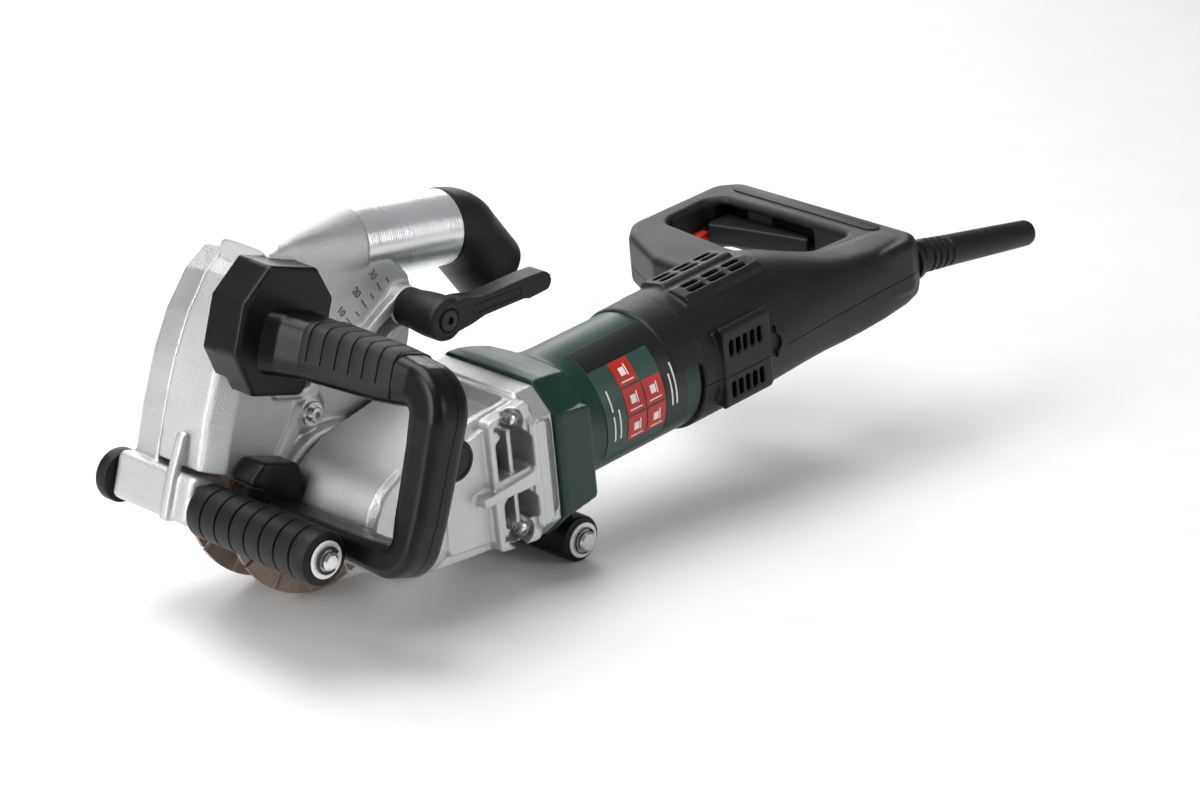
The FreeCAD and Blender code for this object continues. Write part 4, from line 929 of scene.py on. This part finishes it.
def side_handle():
    spots = handle_path()
    centres = [Vector(centre) for centre, across, deep in spots]
    rings = []
    for i, (centre, across, deep) in enumerate(spots):
        ahead = heading(centres, i)
        side = Vector((0, ahead.y, ahead.z)).normalized().cross(REARWARD)
        rings.append(handle_ring(centre, side, across, deep))
    bar = melt(loft(rings), 0.8, 2)
    front = copy_of(bar)
    less(front, box((HANDLE_SPLIT_X - 0.25, -150), (-200, 0), (-40, 140)))
    less(bar, box((-230, HANDLE_SPLIT_X + 0.25), (-200, 0), (-40, 140)))
    piece("handle_half_front", front, GUARD, "gloss_black", "root", "handle_front_shell", "black_plastic",
          sharp=50)
    piece("handle_half_rear", bar, GUARD, "gloss_black", "root", "handle_rear_shell", "black_plastic",
          sharp=50)

    sleeve = loft([handle_ring(centre, Vector((0, 0, 1)), across, deep, grow=0.7)
                   for centre, across, deep in spots[2:6]])
    less(sleeve, box((-230, -150), (-130, -20), (60, 89)))
    for k in range(7):
        y = -106 + 9.5 * k
        less(sleeve, prism("z", [(-215, y - 5), (-165, y + 5), (-165, y + 5.9), (-215, y - 4.1)], 95, 125))
    bevel(sleeve, 0.35, 2, 50)
    piece("grip_overmould", sleeve, GUARD, "soft_grip", "root", "handle_grip")

    base = [(-237, 119), (-223, 140), (-190, 140), (-175, 124), (-175, 88), (-186, 70), (-220, 69),
            (-237, 90)]
    block = bevel(prism("y", base, -27.9, -10.2), 2.0, 2)
    guard_edge = [(-224.5, 21), (-226, 48), (-225, 75), (-221, 101), (-213, 124), (-202.5, 138.5),
                  (-190, 150), (-60, 150), (-60, 21)]
    shim = less(prism("y", base, -11, -1), prism("y", guard_edge, -10.2, 5))
    union(block, shim)
    piece("handle_mount", melt(block, 0.8, 1), GUARD, "gloss_black", "root", "handle_base", "black_plastic",
          sharp=None)
    foot = [(-199.5, -4), (-199.5, 18), (-209, 19.5), (-209, 24), (-203, 33), (-179, 33), (-173, 26),
            (-173, -4)]
    shoe = bevel(prism("y", foot, -27.9, -10.2), 2.0, 3)
    piece("handle_shoe", shoe, GUARD, "gloss_black", "root", "handle_foot", "black_plastic")


# ---------------------------------------------------------------- clamp
LEVER_TILT = -19


def clamp():
    px, pz = BOLT.x, BOLT.z
    turn = Matrix.Translation((px, 0, pz)) @ Matrix.Rotation(math.radians(LEVER_TILT), 4, "Y")
    hub = lathe([(4.1, -16.5), (10.6, -16.5), (11, -18), (11, -24), (12, -32), (12.4, -38), (12.4, -47),
                 (11.6, -49.4), (9.5, -50), (4.1, -50)], steps=72, ring=True)
    outline = soften([(-4, -9.5), (16, -7.5), (26, -5.4), (56, -5.2), (60, -6.4), (75, -5.2), (77.2, -1.5),
                      (76.8, 3), (72, 6.2), (58, 6.6), (26, 5.8), (12, 9), (-4, 9.5)], 4)
    arm = prism("y", outline, -50.6, -38.5)
    union(hub, arm)
    cuts = [rod((0, -60, 0), (0, -10, 0), 4.1), rod((0, -60, 0), (0, -48.5, 0), 6.6),
            prism("y", soften([(18, -2.6), (18, 2.8), (54, 2.6), (54, -2.6)], 1.5), -55, -49.8)]
    for z in (-3.4, -1.1, 1.2, 3.5):
        cuts.append(box((60, 80), (-55, -49.6), (z - 0.45, z + 0.45)))
    less(hub, *cuts)
    melt(hub, 0.45, 2)
    hub.data.transform(turn)
    piece("lever_arm", hub, GUARD, "black_plastic", "lever", "clamp_lever", sharp=None)
    screw = lathe([(3, -46.2), (3, -48.5), (6.2, -48.5), (6.2, -50.6), (5.4, -51.4), (3.4, -51.5)],
                  (px, 0, pz), steps=64)
    less(screw, torx((px, -51.5, pz), -SIDEWAYS, 2.6, 2.0))
    piece("lever_bolt", screw, GUARD, "dark_steel", "lever", "lever_screw")
    washer = lathe(chamfered_disc(4.05, 11, -16.2, -14.3, 0.35), (px, 0, pz), steps=96, ring=True)
    piece("clamp_disc", washer, GUARD, "white_zinc", "depth_frame", "clamp_washer")


# ---------------------------------------------------------------- floor and light
def stage():
    floor = mesh_object("floor", [(-6, -6, 0), (8, -6, 0), (8, 8, 0), (-6, 8, 0)], [(0, 1, 2, 3)])
    floor.data.materials.append(material("floor", (0.86, 0.86, 0.86), 0.6, 0, 60, 0.02, 0.01))
    lights = (("top", (-0.3, 0.35, 1.5), (1.7, 1.1), 27), ("left", (-1.7, 0.3, 0.75), (0.8, 1.2), 17),
              ("front", (0.7, -1.9, 0.8), (0.7, 1.0), 8), ("back", (1.0, 1.6, 0.8), (1.6, 0.7), 14))
    aim = Vector((0, 0, 0.08))
    for name, place, size, watts in lights:
        data = bpy.data.lights.new(name, "AREA")
        data.shape = "RECTANGLE"
        data.size, data.size_y = size
        data.energy = watts
        lamp = bpy.data.objects.new(name, data)
        lamp.location = place
        lamp.rotation_euler = (aim - Vector(place)).to_track_quat("-Z", "Y").to_euler()
        bpy.context.scene.collection.objects.link(lamp)
    world = bpy.data.worlds.new("studio")
    world.use_nodes = True
    background = world.node_tree.nodes["Background"]
    background.inputs["Color"].default_value = (0.92, 0.95, 1.0, 1)
    background.inputs["Strength"].default_value = 0.24
    bpy.context.scene.world = world
    bpy.context.scene.view_settings.view_transform = "Standard"


plain_nodes()
rollers()
axles()
dust_tube()
dust_elbow()
gear_head()
motor_housing()
label()
rear_casing()
cable_entry()
guard_near()
depth_scale()
guard_far()
guard_screw()
side_handle()
clamp()
stage()
